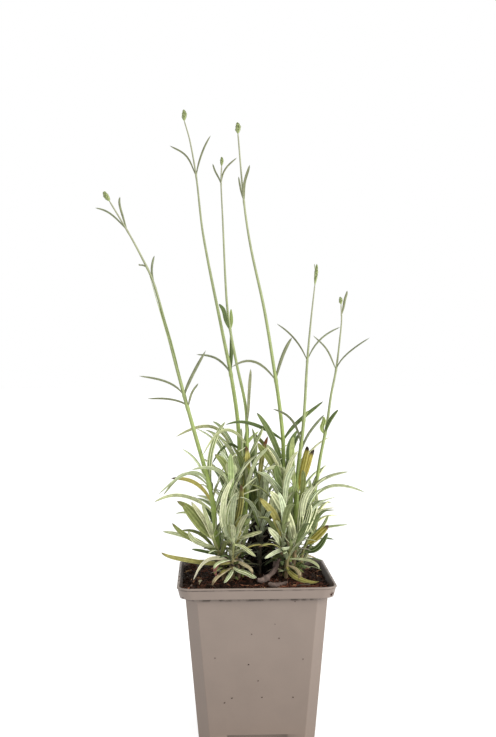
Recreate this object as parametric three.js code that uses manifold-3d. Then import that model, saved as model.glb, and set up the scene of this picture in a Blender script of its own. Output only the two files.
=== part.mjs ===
// Potted lavender: a young lavender with six unopened flower spikes, in a 9 cm square nursery pot.
// Units are millimetres, +Z is up, and the origin is the middle of the pot's underside.
// The pot's sides face along X and Y, and its front faces along -Y.

import * as THREE from "three";
import { mergeVertices } from "three/addons/utils/BufferGeometryUtils.js";
import Module from "manifold-3d";

const wasm = await Module();
wasm.setup();

// Pot: a tapered square body with cut corners, under a rim band. The step out to the band is a shelf.
const POT_HEIGHT = 90;
const RIM_HALF = 45;
const RIM_CORNER = 8;
const BAND_HEIGHT = 6.5;
const BAND_FOOT_HALF = 43.4;
const LIP_HEIGHT = 1.2;
const LIP_OUT = 0.5;
const WALL = 1.4;
const SHELF = 0.7;
const BODY_TOP_HALF = 40.3;
const BODY_FOOT_HALF = 33.1;
const CHAMFER = 6.4;
const LIP_BEVEL = 0.3;
const INNER_CHAMFER = 5.8;
const INNER_CORNER = 7;
const FLOOR = 1.6;
const NOTCH_WIDTH = 34;
const NOTCH_DEPTH = 5;
const NOTCH_HEIGHT = 4.5;
const NOTCH_OVERRUN = 10;
const DRAIN_RADIUS = 2.6;
const DRAIN_REACH = 17;
const DRAIN_SIDES = 10;
const CORNER_STEPS = 4;

// Clear space left between two pieces that touch in the real plant.
const GAP = 0.3;

// Compost: its level, the mound round the stems, its crumbs, and the stems' holes.
const SOIL_LEVEL = 85.5;
const MOUND = 2.4;
const MOUND_AT = [3, 4];
const MOUND_REACH = 18;
const CRUMB = 0.4;
const SOIL_STEP = 5;
const HOLE_FLOOR = 76;
const HOLE_SLACK = 0.35;
const HOLE_SIDES = 6;

// Blades: height of the ridge over the flat underside, and [share of the length, share of the width]
// along the blade. Short and long blades have fewer and more stations than the others.
const RIDGE = 0.85;
const BLADE_STATIONS = {
  short: [[0, 0.3], [0.3, 0.9], [0.72, 0.9]],
  middle: [[0, 0.3], [0.2, 0.8], [0.52, 1], [0.82, 0.8]],
  long: [[0, 0.3], [0.16, 0.75], [0.4, 1], [0.64, 1], [0.86, 0.72]],
};
const SHORT_BLADE = 20;
const LONG_BLADE = 40;
const TIP_WIDE = 0.2;
const LEAST_FLAT = 0.5;
const ALONG_STEP = 0.04;

// Stems: height between rings, and how far a blade's root stays below the top.
const STEM_STEP = 17;
const FOOT_ABOVE_SOIL = 1;
const ROOT_BELOW_END = 1;

// Spikes: rows of scales up the spindle, scale edges round it, how far they stand out, and the
// stretch of a half wave that gives the spindle its swelling. A forked one has a second point.
const SPIKE_ROWS = 8;
const SPIKE_AROUND = 10;
const SPIKE_RELIEF = 0.1;
const SPIKE_NECK = 0.3;
const SPIKE_WAVE = [0.12, 0.95];
const SPIKE_POWER = 0.6;
const FORK = { root: 0.6, over: 0.85, overOut: 0.9, tipOut: 1.6, width: 1.4 };

// Clear space between two stems' pieces, and over the compost and the rim. A blade counts as round,
// at a share of its width. One that isn't clear is swung or turned by the next step, and tried again.
const BLADE_ROUND = 0.82;
const BLADE_CLEAR = 0.65;
const SOIL_CLEAR = 1.15;
const RIM_CLEAR = 1.65;
const RIM_REACH = 4;
const SWINGS = [0, 1, -1, 2, -2, 3, -3, 4, -4, 5, -5, 6, -6];
const SWING_STEP = 4;
const TURN_STEP = 14;

// Foliage in pairs: the quarter turn from pair to pair, how a blade arches, how its lean in degrees
// changes from the lowest pair to the highest, and the spread of the random draws.
const FOLIAGE_SEED = 7;
const WHORL_TURN = Math.PI / 2;
const OVER_DEPTH = 0.42;
const LIFT_SHARE = 0.24;
const HOLLOW_SHARE = 0.1;
const LOW_LEAN = 12;
const HIGH_LEAN = -10;
const SPREAD = { azimuth: 0.5, height: 2, lean: 12, turn: 30 };
const SMALLEST = 0.85;
const SIZE_RANGE = 0.3;

// Where the plant's outline was measured from. Outline points lie in the upright plane y = 0,
// and seen() moves one nearer or further along its line of sight.
const SIGHT = [-28.7, -675.2, 222.1];

// Every leafy stem. path: [x, z, y] with x and z in the outline plane and y the true depth.
// The foot is where it stands in the compost. thick: half width at the foot and at the top.
// leaves: [height on the stem, middle x, middle z, tip x, tip z, depth of the tip, width, turn].
// whorls: rows of pairs, as [lowest height, highest height, pairs, length, width, lean in degrees].
const STEMS = [
  {
    name: "stalk_a",
    color: 0x8f9c55,
    foot: [-14, 0],
    thick: [1.4, 0.5],
    path: [[-21.5, 107, -2], [-25, 136, -5], [-35.3, 175, -9], [-40.8, 195, -11], [-50.9, 234, -14],
      [-58.9, 263, -16], [-66.4, 279, -17], [-73.4, 292, -18], [-84.2, 310.2, -20]],
    spike: [-87.4, 315.9, 3.2, 0],
    leaves: [
      [292, -82.5, 302, -92.5, 306, -6, 1.8, 10],
      [293, -77.5, 305, -78, 312.5, 5, 2, 40],
      [271, -65.6, 272.4, -67, 273, -1, 1.4, 0],
      [259.5, -59.4, 269.5, -58, 278, 4, 2, 30],
      [195, -50.5, 203.5, -67.5, 207, -9, 2.2, 15],
      [195, -37, 206, -28, 222, 9, 2.8, 35],
      [188, -45.5, 193, -63, 193.5, 8, 2.2, 15],
      [188, -36.5, 196.5, -32.5, 202.5, -6, 2.4, 30],
      [132, -25.6, 160, -16.5, 180, 7, 3, 60],
      [142.5, -37.5, 150, -56.5, 137, -7, 2.6, 20],
      [141, -40, 149, -53.5, 136.5, 8, 2.4, 20],
      [130.5, -34, 143.5, -49, 146.5, 5, 3, 35],
      [125.5, -40.5, 136.5, -59, 132.5, -3, 2.8, 25],
      [128.5, -28.5, 133, -34, 134.5, 9, 2.4, 20],
      [146.5, -29, 149, -30.5, 152, 3, 1.8, 30],
    ],
    whorls: [[92, 102, 2, 16, 2.4, 62], [104, 132, 4, 34, 3.2, 40]],
  },
  {
    name: "stalk_b",
    color: 0x8f9c55,
    foot: [-10.5, 4],
    thick: [1.4, 0.45],
    path: [[-9.5, 106, 5], [-7, 133, 7], [-8.1, 157, 8], [-9.4, 181, 9], [-13.3, 208, 10],
      [-18.4, 234, 11], [-29.2, 290.4, 13], [-33.1, 324.3, 14], [-36.7, 345.4, 15], [-40, 357.4, 16]],
    spike: [-40.2, 364, 3.1, 0],
    leaves: [
      [324.5, -39.5, 336.5, -48.5, 342.5, -7, 1.8, 10],
      [324.5, -30, 338, -24.5, 348.5, 7, 1.8, 20],
      [208, -21, 217, -33.5, 219.5, -8, 2.4, 15],
      [208, -13, 221, -13, 233, 8, 3, 50],
      [163, -16.5, 166, -24.5, 155, -9, 2.4, 15],
      [151, -16.5, 168, -28.5, 175, 8, 2.6, 15],
      [157, -16.5, 173.5, -24, 180, 12, 2.6, 20],
      [135, -5, 152, -4, 167, -6, 3, 70],
    ],
    whorls: [[104, 138, 4, 36, 3.2, 36]],
  },
  {
    name: "stalk_c",
    color: 0x8c9a5c,
    foot: [-7, 0],
    thick: [1.1, 0.45],
    path: [[-6, 110, -1], [-3.6, 145, 0], [-3.9, 169, 1], [-4.6, 188.5, 2], [-9.6, 213, 3], [-13.5, 234, 4],
      [-15.6, 252.5, 4], [-17.7, 301, 6], [-18.5, 321, 6], [-18.1, 331, 6]],
    spike: [-18.1, 336.2, 2.2, 0],
    leaves: [
      [320, -21, 326.5, -23.5, 332, -4, 1.6, 10],
      [320, -15.5, 329.5, -9, 335.5, 4, 1.6, 10],
      [234, -17, 243.5, -20, 249.5, -4, 2.6, 30],
      [234, -12.8, 240.5, -13, 246.5, 4, 2, 20],
      [178, -2.5, 195.5, -1.5, 211, -5, 2.8, 50],
      [166, -17.5, 175, -30, 160, -8, 2.4, 15],
      [158, 2, 169, 5.5, 176, -4, 2.6, 30],
    ],
    whorls: [[104, 136, 4, 32, 3, 36]],
  },
  {
    name: "stalk_d",
    color: 0x8f9c55,
    foot: [18, 4.5],
    thick: [1.3, 0.5],
    path: [[20.3, 106, 4], [18.6, 127, 3], [17.8, 151, 2], [17.5, 168.7, 1], [15.8, 186.5, 0],
      [13.4, 204.2, -1], [6.8, 245.6, -3], [-1.2, 283.2, -5], [-5, 309.3, -6], [-8.4, 350, -7]],
    spike: [-8.6, 356.6, 3.3, 0],
    leaves: [
      [309.5, -4.3, 321, -1.5, 331.5, -4, 2.4, 40],
      [309.5, -6.8, 317.5, -8.2, 324.5, 4, 1.8, 20],
      [204, 0.5, 215.5, -12.5, 212, -9, 2.6, 15],
      [204.5, 17, 217.5, 23, 229.5, 7, 3.2, 45],
      [168.5, -0.5, 179, -16.5, 178, -10, 3, 15],
      [168.5, 27.5, 180.5, 41.5, 191.5, 9, 2.6, 15],
      [149, 11.5, 169.5, 2, 185, -7, 3.4, 45],
      [144, 9.5, 161.5, 0.5, 172.5, 8, 3, 30],
      [139, 8.5, 157.5, 2.5, 167, -9, 4, 60],
    ],
    whorls: [[92, 102, 2, 16, 2.4, 62], [104, 138, 4, 35, 3.2, 36]],
  },
  {
    name: "stalk_e",
    color: 0x93a052,
    foot: [20.5, 0.5],
    thick: [1.4, 0.45],
    path: [[22, 106, 1], [25, 127, 2], [26.3, 150.8, 3], [29.7, 178.4, 5], [32.1, 215.5, 7], [34.4, 239.8, 8],
      [36.8, 260.8, 9]],
    spike: [38, 273, 2.3, 1],
    leaves: [
      [215.5, 24.5, 229, 14, 237.5, -7, 1.7, 10],
      [215.5, 39.5, 228, 52, 235.5, 7, 1.8, 10],
      [165.5, 23, 180.5, 11.5, 187, -8, 2.4, 15],
      [159.5, 33.5, 173.5, 42, 183.5, 7, 2.6, 20],
      [180.5, 31, 183.5, 32.3, 186, 2, 1.5, 20],
      [138, 30, 155, 32, 165, -6, 3.4, 65],
      [137, 31.5, 152.5, 36, 163, 5, 3.4, 60],
      [141, 21.5, 160, 26, 174.5, -8, 3.6, 65],
      [135, 24.5, 157, 27, 170.5, -11, 3.2, 60],
    ],
    whorls: [[104, 130, 4, 34, 3.4, 38]],
  },
  {
    name: "stalk_f",
    color: 0x8f9c5c,
    foot: [24, 2.5],
    thick: [1.2, 0.45],
    path: [[26, 107, 4], [31.5, 124, 6], [36.4, 138.8, 7], [39.6, 158, 8], [43.7, 178.3, 9], [46.2, 195.3, 9],
      [49.2, 210.1, 10], [51.6, 229, 11], [52.6, 240, 12], [52.3, 249.2, 12]],
    spike: [51.8, 253.6, 2.4, 0],
    leaves: [
      [243, 54.6, 251, 56, 257, 5, 1.6, 20],
      [210, 44, 221.5, 35.5, 230.5, 7, 2, 15],
      [210, 56.5, 220.5, 69.5, 229, -7, 1.7, 10],
      [172, 45, 180, 50.5, 186.5, -5, 3, 35],
      [172, 41, 178, 42, 182.5, 5, 3, 50],
      [133, 40, 145, 56.5, 149.5, -5, 2.8, 20],
      [130, 46, 141.5, 66.5, 137, 8, 2.4, 15],
      [133, 33.4, 139.5, 33.5, 145, -8, 2.4, 40],
    ],
    whorls: [[92, 102, 2, 16, 2.4, 62], [104, 126, 3, 30, 3.2, 42]],
  },
  {
    name: "shoot_left",
    color: 0x7f8a63,
    foot: [-18, -4],
    thick: [1.1, 0.8],
    path: [[-19.5, 97, -6], [-22.5, 106, -9], [-25.5, 114, -11]],
    leaves: [
      [112, -33, 123, -45.5, 133, -6, 4.4, 65],
      [110.5, -34.5, 121, -42.5, 131.5, -10, 4.6, 75],
      [113, -30, 122, -37, 132.5, -2, 3.8, 60],
      [106.5, -33.5, 123.5, -46.5, 125.5, 8, 2.6, 15],
      [102, -36, 110, -48.5, 120, -8, 3.2, 40],
      [102.5, -38, 111.5, -54, 115, 3, 3, 25],
      [105, -33, 109, -39, 115, -14, 3, 35],
      [101, -28.5, 103, -37, 104.5, -7, 2.4, 10],
    ],
    whorls: [[90, 98, 2, 16, 2.4, 70], [99, 113, 2, 30, 3.4, 48]],
  },
  {
    name: "shoot_front_left",
    color: 0x9a9a6e,
    foot: [-13, -9],
    thick: [1.1, 0.8],
    path: [[-13, 96, -12], [-12.5, 104, -14], [-11.5, 111, -15]],
    leaves: [
      [95, -38, 96, -55, 101.5, -6, 3.8, 35],
      [97, -27.5, 98, -36, 86, -12, 3, 25],
      [93.5, -20.5, 89.5, -25, 82.5, -17, 2.8, 30],
      [92.5, -14.5, 89, -18, 84, -16, 2.6, 30],
      [94, -5.5, 89.5, 1.5, 87, -10, 3, 25],
      [98, -20, 97, -24, 92.5, -9, 2.6, 20],
      [97.5, -4, 94.5, -1, 88.5, -5, 2.6, 20],
      [107, -5, 104.5, 1, 99.5, -6, 2.6, 25],
    ],
    whorls: [[91, 98, 2, 14, 2.2, 76], [100, 109, 2, 24, 2.8, 54]],
  },
  {
    name: "shoot_mid_left",
    color: 0x8b9470,
    foot: [-9.5, -4.5],
    thick: [1.2, 0.7],
    path: [[-10.5, 98, -5.5], [-13.5, 115, -8], [-13.5, 132, -9], [-12, 148, -9]],
    leaves: [
      [106.5, -19, 125.5, -12, 146.5, -8, 3.8, 75],
      [106.5, -15.5, 123.5, -9.5, 138, -11, 3.6, 80],
      [105, -9.5, 113.5, -8.5, 122.5, -7, 3.2, 70],
      [109.5, -22.5, 121.5, -19, 137, -5, 3.6, 60],
      [143, -16.5, 153.5, -23, 160.5, -4, 4, 55],
      [145.5, -14.5, 154.5, -20, 162.5, 4, 3.2, 40],
      [142, -23, 152, -36.5, 151.5, -5, 2.6, 15],
      [109, -3, 112.5, 5, 114.5, -5, 2.8, 20],
    ],
    whorls: [[92, 104, 2, 16, 2.4, 62], [106, 132, 4, 34, 3.4, 36]],
  },
  {
    name: "shoot_back_left",
    color: 0x76825c,
    foot: [-13, 9],
    thick: [1.2, 0.7],
    path: [[-13, 108, 13], [-12, 132, 16], [-10.5, 153, 18]],
    leaves: [
      [151, -21.5, 176, -46, 171, 5, 2.8, 15],
    ],
    whorls: [[92, 102, 2, 18, 2.6, 66], [104, 142, 6, 38, 3.6, 42]],
  },
  {
    name: "shoot_back",
    color: 0x76825c,
    foot: [4, 19],
    thick: [1.2, 0.7],
    path: [[4, 104, 21], [3, 122, 24], [1, 138, 27]],
    leaves: [],
    whorls: [[92, 100, 2, 18, 2.6, 66], [102, 134, 5, 38, 3.6, 44]],
  },
  {
    name: "shoot_middle",
    color: 0x8b9064,
    foot: [3, 1],
    thick: [1.2, 0.7],
    path: [[3.5, 104, 0.5], [4, 120, 0], [3, 143, 0]],
    leaves: [
      [139, 4.5, 156, 8.5, 171, -4, 3, 65],
      [141, 0, 154.5, -0.5, 164, 3, 2.4, 50],
      [115.5, 1.5, 124.5, -1, 133, -6, 3, 70],
      [115.5, 9, 126, 11, 137, -8, 3.6, 60],
      [121.5, 7, 136, 6, 150, -6, 3.2, 60],
      [118.5, 11, 127, 18, 130, -4, 3, 30],
    ],
    whorls: [[96, 106, 2, 15, 2.4, 60], [108, 132, 4, 30, 3, 36]],
  },
  {
    name: "shoot_right_inner",
    color: 0x8b9470,
    foot: [15.5, -1.5],
    thick: [1.2, 0.7],
    path: [[16.5, 104, -4], [17.5, 120, -6], [17.5, 146, -7]],
    leaves: [
      [146, 15.5, 152.5, 6.5, 151, -6, 3, 25],
      [139, 15, 146, 13.5, 154, -5, 4.6, 80],
      [138, 10.5, 145, 5, 150, -7, 3, 35],
      [109, 13, 122.5, 10.5, 136, -7, 4, 75],
      [110, 18, 124, 14.5, 138, -11, 3.8, 75],
      [105, 13.5, 110.5, 8.5, 117, -8, 3.8, 60],
    ],
    whorls: [[92, 102, 2, 15, 2.4, 62], [104, 134, 5, 34, 3.4, 38]],
  },
  {
    name: "shoot_right_fan",
    color: 0x7f8a63,
    foot: [23, -3],
    thick: [1.1, 0.7],
    path: [[24.5, 103, -5], [28, 116, -7], [31, 134, -8]],
    leaves: [
      [111, 28, 125, 30, 138, -9, 3.8, 75],
      [108, 34, 121, 37.5, 137, -4, 3.8, 65],
      [109, 32, 120, 33.5, 131, -13, 3.2, 70],
      [124, 35, 130, 40, 132.5, -4, 2.4, 15],
      [131, 29.5, 137, 29.5, 142, 5, 2.4, 40],
    ],
    whorls: [[91, 100, 2, 15, 2.4, 66], [102, 124, 4, 32, 3.4, 40]],
  },
  {
    name: "shoot_right_low",
    color: 0x878e55,
    foot: [27.5, 0.5],
    thick: [1.1, 0.8],
    path: [[28, 98, 0], [31, 107, -1], [35, 114, -2]],
    leaves: [
      [113, 40.5, 117.5, 44.5, 124, 4, 2.2, 20],
      [110, 43, 116.5, 56, 118, -5, 2.2, 10],
      [109, 35.5, 115, 38, 122.5, 5, 2.6, 50],
      [107, 37, 110.5, 44.5, 117, -7, 5.2, 75],
      [101, 37.5, 102.5, 44, 112.5, -9, 4.8, 70],
    ],
    whorls: [[90, 97, 1, 15, 2.4, 70], [99, 112, 2, 24, 3.2, 54]],
  },
  {
    name: "shoot_front_right",
    color: 0xa09a66,
    foot: [18.5, -5.5],
    thick: [1.1, 0.8],
    path: [[19.5, 96, -7], [21.5, 103, -8], [22, 110, -9]],
    leaves: [
      [105, 13.5, 102.5, 6, 98.5, -7, 3.2, 30],
      [95, 24.5, 90, 38.5, 84.5, -10, 3.4, 30],
      [94, 25.5, 92, 26.5, 86, -14, 2.4, 20],
      [98, 33, 97, 39, 92, -4, 2.2, 15],
    ],
    whorls: [[91, 98, 2, 14, 2.2, 74], [100, 109, 2, 24, 2.8, 54]],
  },
  {
    name: "shoot_back_right",
    color: 0x76825c,
    foot: [21, 9.5],
    thick: [1.2, 0.7],
    path: [[22, 106, 13], [24, 126, 17], [25, 143, 20]],
    leaves: [],
    whorls: [[92, 102, 2, 18, 2.6, 66], [104, 136, 5, 38, 3.6, 42]],
  },
  {
    name: "woody_heart",
    color: 0x3a2a20,
    foot: [4, 10.5],
    thick: [1.8, 1],
    path: [[4, 100, 10.5], [4.5, 117, 10.5]],
    core: true,
    leaves: [],
    whorls: [[91, 116, 8, 17, 2.2, 66]],
  },
];

// The knotty old wood between the clumps: a lumpy core round its stem, which dead leaves hang from.
// rods: places across it where it counts as a round rod, which other stems' blades keep clear of.
const CORE = { low: 88.6, high: 112, wide: 8, deep: 4.6, rows: 6, around: 9, rods: [-4, 0, 4] };
const KNOT_LOBES = { three: 0.1, threeTurn: 2.1, five: 0.08 };

// Dead twigs that lie over the compost: [x, y, height above the compost] at each point, and half width.
const TWIGS = [
  { name: "twig_long", points: [[1, -17, 0], [6, -14, 0.4], [10.5, -11, 3.5], [13, -9.5, 8]], half: 1.2 },
  { name: "twig_short", points: [[7, -24, 0], [13, -22.5, 0.3], [18.5, -19, 0.5]], half: 1 },
];
const TWIG_LIFT = 0.45;
const TWIG_SIDES = 5;
const TWIG_STEPS = 6;

const clamp = (value, low, high) => Math.min(high, Math.max(low, value));
const mix = (a, b, share) => a + (b - a) * share;
const radians = (degrees) => degrees * Math.PI / 180;

// A repeatable stream of numbers from 0 to 1.
function makeRandom(seed) {
  let state = seed >>> 0;
  return () => {
    state = (state + 0x6d2b79f5) >>> 0;
    let hash = Math.imul(state ^ (state >>> 15), 1 | state);
    hash = (hash + Math.imul(hash ^ (hash >>> 7), 61 | hash)) ^ hash;
    return ((hash ^ (hash >>> 14)) >>> 0) / 4294967296;
  };
}

// Moves an outline point along its line of sight to the depth y.
function seen(x, z, y) {
  const share = (y - SIGHT[1]) / -SIGHT[1];
  return new THREE.Vector3(mix(SIGHT[0], x, share), y, mix(SIGHT[2], z, share));
}

// Height of the compost: level, with a mound round the stems and crumbs from crossed waves.
function soilHeight(x, y) {
  const off = (x - MOUND_AT[0]) ** 2 + (y - MOUND_AT[1]) ** 2;
  const mound = MOUND * Math.exp(-off / (2 * MOUND_REACH ** 2));
  const crumbs = Math.sin(x * 0.83 + 1.3) * Math.sin(y * 0.77 + 0.4) + 0.7 * Math.sin(x * 0.41 - y * 0.53);
  return SOIL_LEVEL + mound + CRUMB * crumbs;
}

// A closed solid through rings of points, ended by a flat cap, or by a tip where a ring is one point.
function loft(rings) {
  const positions = rings.flat().flatMap((p) => [p.x, p.y, p.z]);
  const starts = [];
  let total = 0;
  for (const ring of rings) {
    starts.push(total);
    total += ring.length;
  }
  const faces = [];
  for (let r = 0; r + 1 < rings.length; r += 1) {
    const count = Math.max(rings[r].length, rings[r + 1].length);
    for (let i = 0; i < count; i += 1) {
      const j = (i + 1) % count;
      const pair = (ring) => (rings[ring].length > 1
        ? [starts[ring] + i, starts[ring] + j] : [starts[ring], starts[ring]]);
      const low = pair(r);
      const high = pair(r + 1);
      if (low[0] !== low[1]) faces.push([low[0], low[1], high[0]]);
      if (high[0] !== high[1]) faces.push([low[1], high[1], high[0]]);
    }
  }
  const cap = (start, count, forward) => {
    for (let i = 1; i + 1 < count; i += 1) {
      faces.push(forward ? [start, start + i, start + i + 1] : [start, start + i + 1, start + i]);
    }
  };
  const last = rings.length - 1;
  cap(starts[0], rings[0].length, false);
  cap(starts[last], rings[last].length, true);
  return outward(positions, faces);
}

// Turns the faces round if they enclose a negative volume.
function outward(positions, faces) {
  const point = (i) => new THREE.Vector3().fromArray(positions, 3 * i);
  let volume = 0;
  for (const [a, b, c] of faces) volume += point(a).dot(point(b).cross(point(c)));
  const geometry = new THREE.BufferGeometry();
  geometry.setAttribute("position", new THREE.Float32BufferAttribute(positions, 3));
  geometry.setIndex(faces.flatMap(([a, b, c]) => (volume < 0 ? [a, c, b] : [a, b, c])));
  return geometry;
}

function toSolid(geometry) {
  const bare = geometry.clone();
  bare.deleteAttribute("normal");
  bare.deleteAttribute("uv");
  const merged = mergeVertices(bare, 1e-4);
  return new wasm.Manifold(new wasm.Mesh({
    numProp: 3,
    vertProperties: new Float32Array(merged.attributes.position.array),
    triVerts: new Uint32Array(merged.index.array),
  }));
}

function toGeometry(solid) {
  const mesh = solid.getMesh();
  const geometry = new THREE.BufferGeometry();
  geometry.setAttribute("position", new THREE.Float32BufferAttribute(mesh.vertProperties, 3));
  geometry.setIndex(Array.from(mesh.triVerts));
  return geometry;
}

// Solids fused to one body. Only its outer skin is kept, so a hollow shut in by the fusing is filled.
function joined(solids) {
  const mesh = solids.reduce((whole, solid) => whole.add(solid)).getMesh();
  const corner = (i) => new THREE.Vector3().fromArray(mesh.vertProperties, 3 * i);
  const parent = Array.from({ length: mesh.vertProperties.length / 3 }, (_, i) => i);
  const find = (i) => {
    let top = i;
    while (parent[top] !== top) top = parent[top];
    parent[i] = top;
    return top;
  };
  const faces = [];
  for (let i = 0; i < mesh.triVerts.length; i += 3) {
    const [a, b, c] = mesh.triVerts.slice(i, i + 3);
    faces.push([a, b, c]);
    parent[find(b)] = find(a);
    parent[find(c)] = find(a);
  }
  const skins = new Map();
  for (const face of faces) {
    const key = find(face[0]);
    const skin = skins.get(key) ?? { volume: 0, faces: [] };
    const [a, b, c] = face.map(corner);
    skin.volume += a.dot(b.cross(c));
    skin.faces.push(face);
    skins.set(key, skin);
  }
  const outer = [...skins.values()].reduce((best, skin) => (skin.volume > best.volume ? skin : best));
  return new wasm.Manifold(new wasm.Mesh({
    numProp: 3,
    vertProperties: mesh.vertProperties,
    triVerts: new Uint32Array(outer.faces.flat()),
  }));
}

// A square outline with its corners cut straight (round = 0) or rounded (round = 1).
function squareOutline(half, corner, round, z) {
  const ring = [];
  for (let quarter = 0; quarter < 4; quarter += 1) {
    for (let step = 0; step <= CORNER_STEPS; step += 1) {
      const share = step / CORNER_STEPS;
      const angle = share * Math.PI / 2;
      const arc = [half - corner + corner * Math.cos(angle), half - corner + corner * Math.sin(angle)];
      const cut = [mix(half, half - corner, share), mix(half - corner, half, share)];
      const x = mix(cut[0], arc[0], round);
      const y = mix(cut[1], arc[1], round);
      const turn = quarter * Math.PI / 2;
      ring.push(new THREE.Vector3(x * Math.cos(turn) - y * Math.sin(turn),
        x * Math.sin(turn) + y * Math.cos(turn), z));
    }
  }
  return ring;
}

// Half width of the body's outer face at a height.
function bodyHalf(z) {
  return mix(BODY_FOOT_HALF, BODY_TOP_HALF, z / (POT_HEIGHT - BAND_HEIGHT));
}

// The four notches in the foot's sides, each grown by a wall's thickness where it is cut from a filling.
function notchBoxes(grow) {
  const depth = NOTCH_DEPTH + grow + NOTCH_OVERRUN;
  return [0, 1, 2, 3].map((side) => {
    const box = new THREE.BoxGeometry(depth, NOTCH_WIDTH + 2 * grow, 2 * (NOTCH_HEIGHT + grow));
    box.translate(BODY_FOOT_HALF - NOTCH_DEPTH - grow + depth / 2, 0, 0);
    box.rotateZ(side * Math.PI / 2);
    return toSolid(box);
  });
}

function potSolid() {
  const bandFoot = POT_HEIGHT - BAND_HEIGHT;
  const lipFoot = POT_HEIGHT - LIP_HEIGHT;
  const outer = toSolid(loft([
    squareOutline(bodyHalf(0), CHAMFER, 0, 0),
    squareOutline(bodyHalf(bandFoot), CHAMFER, 0, bandFoot),
    squareOutline(BAND_FOOT_HALF, RIM_CORNER, 1, bandFoot),
    squareOutline(RIM_HALF - LIP_OUT, RIM_CORNER, 1, lipFoot),
    squareOutline(RIM_HALF, RIM_CORNER, 1, lipFoot + LIP_BEVEL),
    squareOutline(RIM_HALF, RIM_CORNER, 1, POT_HEIGHT - LIP_BEVEL),
    squareOutline(RIM_HALF - LIP_BEVEL, RIM_CORNER, 1, POT_HEIGHT),
  ]));
  const shelf = bandFoot + SHELF;
  const inner = toSolid(loft([
    squareOutline(bodyHalf(FLOOR) - WALL, INNER_CHAMFER, 0, FLOOR),
    squareOutline(bodyHalf(shelf) - WALL, INNER_CHAMFER, 0, shelf),
    squareOutline(BAND_FOOT_HALF - WALL, INNER_CORNER, 1, shelf),
    squareOutline(RIM_HALF - WALL, INNER_CORNER, 1, POT_HEIGHT + WALL),
  ]));
  const inside = notchBoxes(WALL).reduce((hollow, box) => hollow.subtract(box), inner);
  let pot = outer.subtract(inside);
  for (const box of notchBoxes(0)) pot = pot.subtract(box);
  for (let i = 0; i < 4; i += 1) {
    const drain = new THREE.CylinderGeometry(DRAIN_RADIUS, DRAIN_RADIUS, 4 * FLOOR, DRAIN_SIDES);
    drain.rotateX(Math.PI / 2);
    drain.translate(DRAIN_REACH, DRAIN_REACH, 0);
    drain.rotateZ(i * Math.PI / 2);
    pot = pot.subtract(toSolid(drain));
  }
  return pot;
}

// The stem's knots in true coordinates: buried end, foot, then the path.
function stemKnots(stem) {
  const [x, y] = stem.foot;
  const end = new THREE.Vector3(x, y, HOLE_FLOOR + GAP);
  const foot = new THREE.Vector3(x, y, soilHeight(x, y) + FOOT_ABOVE_SOIL);
  return [end, foot].concat(stem.path.map(([px, pz, py]) => seen(px, pz, py)));
}

// The stem's centre at a height: a cubic between each two knots. It stands upright up to its foot,
// and slopes at any other knot as the knots on either side of that one lie.
function stemPoint(knots, z) {
  const last = knots.length - 1;
  let i = 0;
  while (i < last - 1 && z > knots[i + 1].z) i += 1;
  const slope = (k, axis) => {
    if (k <= 1) return 0;
    const before = knots[k - 1];
    const after = knots[Math.min(last, k + 1)];
    return (after[axis] - before[axis]) / (after.z - before.z);
  };
  const rise = knots[i + 1].z - knots[i].z;
  const t = clamp((z - knots[i].z) / rise, 0, 1);
  const at = (axis) => {
    const start = (2 * t ** 3 - 3 * t ** 2 + 1) * knots[i][axis];
    const end = (3 * t ** 2 - 2 * t ** 3) * knots[i + 1][axis];
    const lean = (t ** 3 - 2 * t ** 2 + t) * rise * slope(i, axis);
    return start + end + lean + (t ** 3 - t ** 2) * rise * slope(i + 1, axis);
  };
  return new THREE.Vector3(at("x"), at("y"), z);
}

// A square stem with its edges to front, back and sides, thinner towards the top.
function stemRings(stem, knots) {
  const low = knots[1].z;
  const high = knots[knots.length - 1].z;
  const steps = Math.ceil((high - low) / STEM_STEP);
  const heights = [knots[0].z];
  for (let i = 0; i <= steps; i += 1) heights.push(mix(low, high, i / steps));
  return heights.map((z) => {
    const centre = stemPoint(knots, z);
    const half = mix(stem.thick[0], stem.thick[1], Math.max(0, (z - low) / (high - low)));
    return [0, 1, 2, 3].map((edge) => {
      const angle = edge * Math.PI / 2;
      return centre.clone().add(new THREE.Vector3(half * Math.cos(angle), half * Math.sin(angle), 0));
    });
  });
}

// A blade's centre line: one arc from its root, through over at half its length, to its tip.
function bladePoint(blade, share) {
  const bend = blade.over.clone().multiplyScalar(2)
    .sub(blade.root.clone().add(blade.tip).multiplyScalar(0.5));
  const a = blade.root.clone().multiplyScalar((1 - share) ** 2);
  const b = bend.multiplyScalar(2 * share * (1 - share));
  return a.add(b).add(blade.tip.clone().multiplyScalar(share ** 2));
}

function bladeStations(blade) {
  const length = blade.root.distanceTo(blade.over) + blade.over.distanceTo(blade.tip);
  if (length < SHORT_BLADE) return BLADE_STATIONS.short;
  return length > LONG_BLADE ? BLADE_STATIONS.long : BLADE_STATIONS.middle;
}

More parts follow.
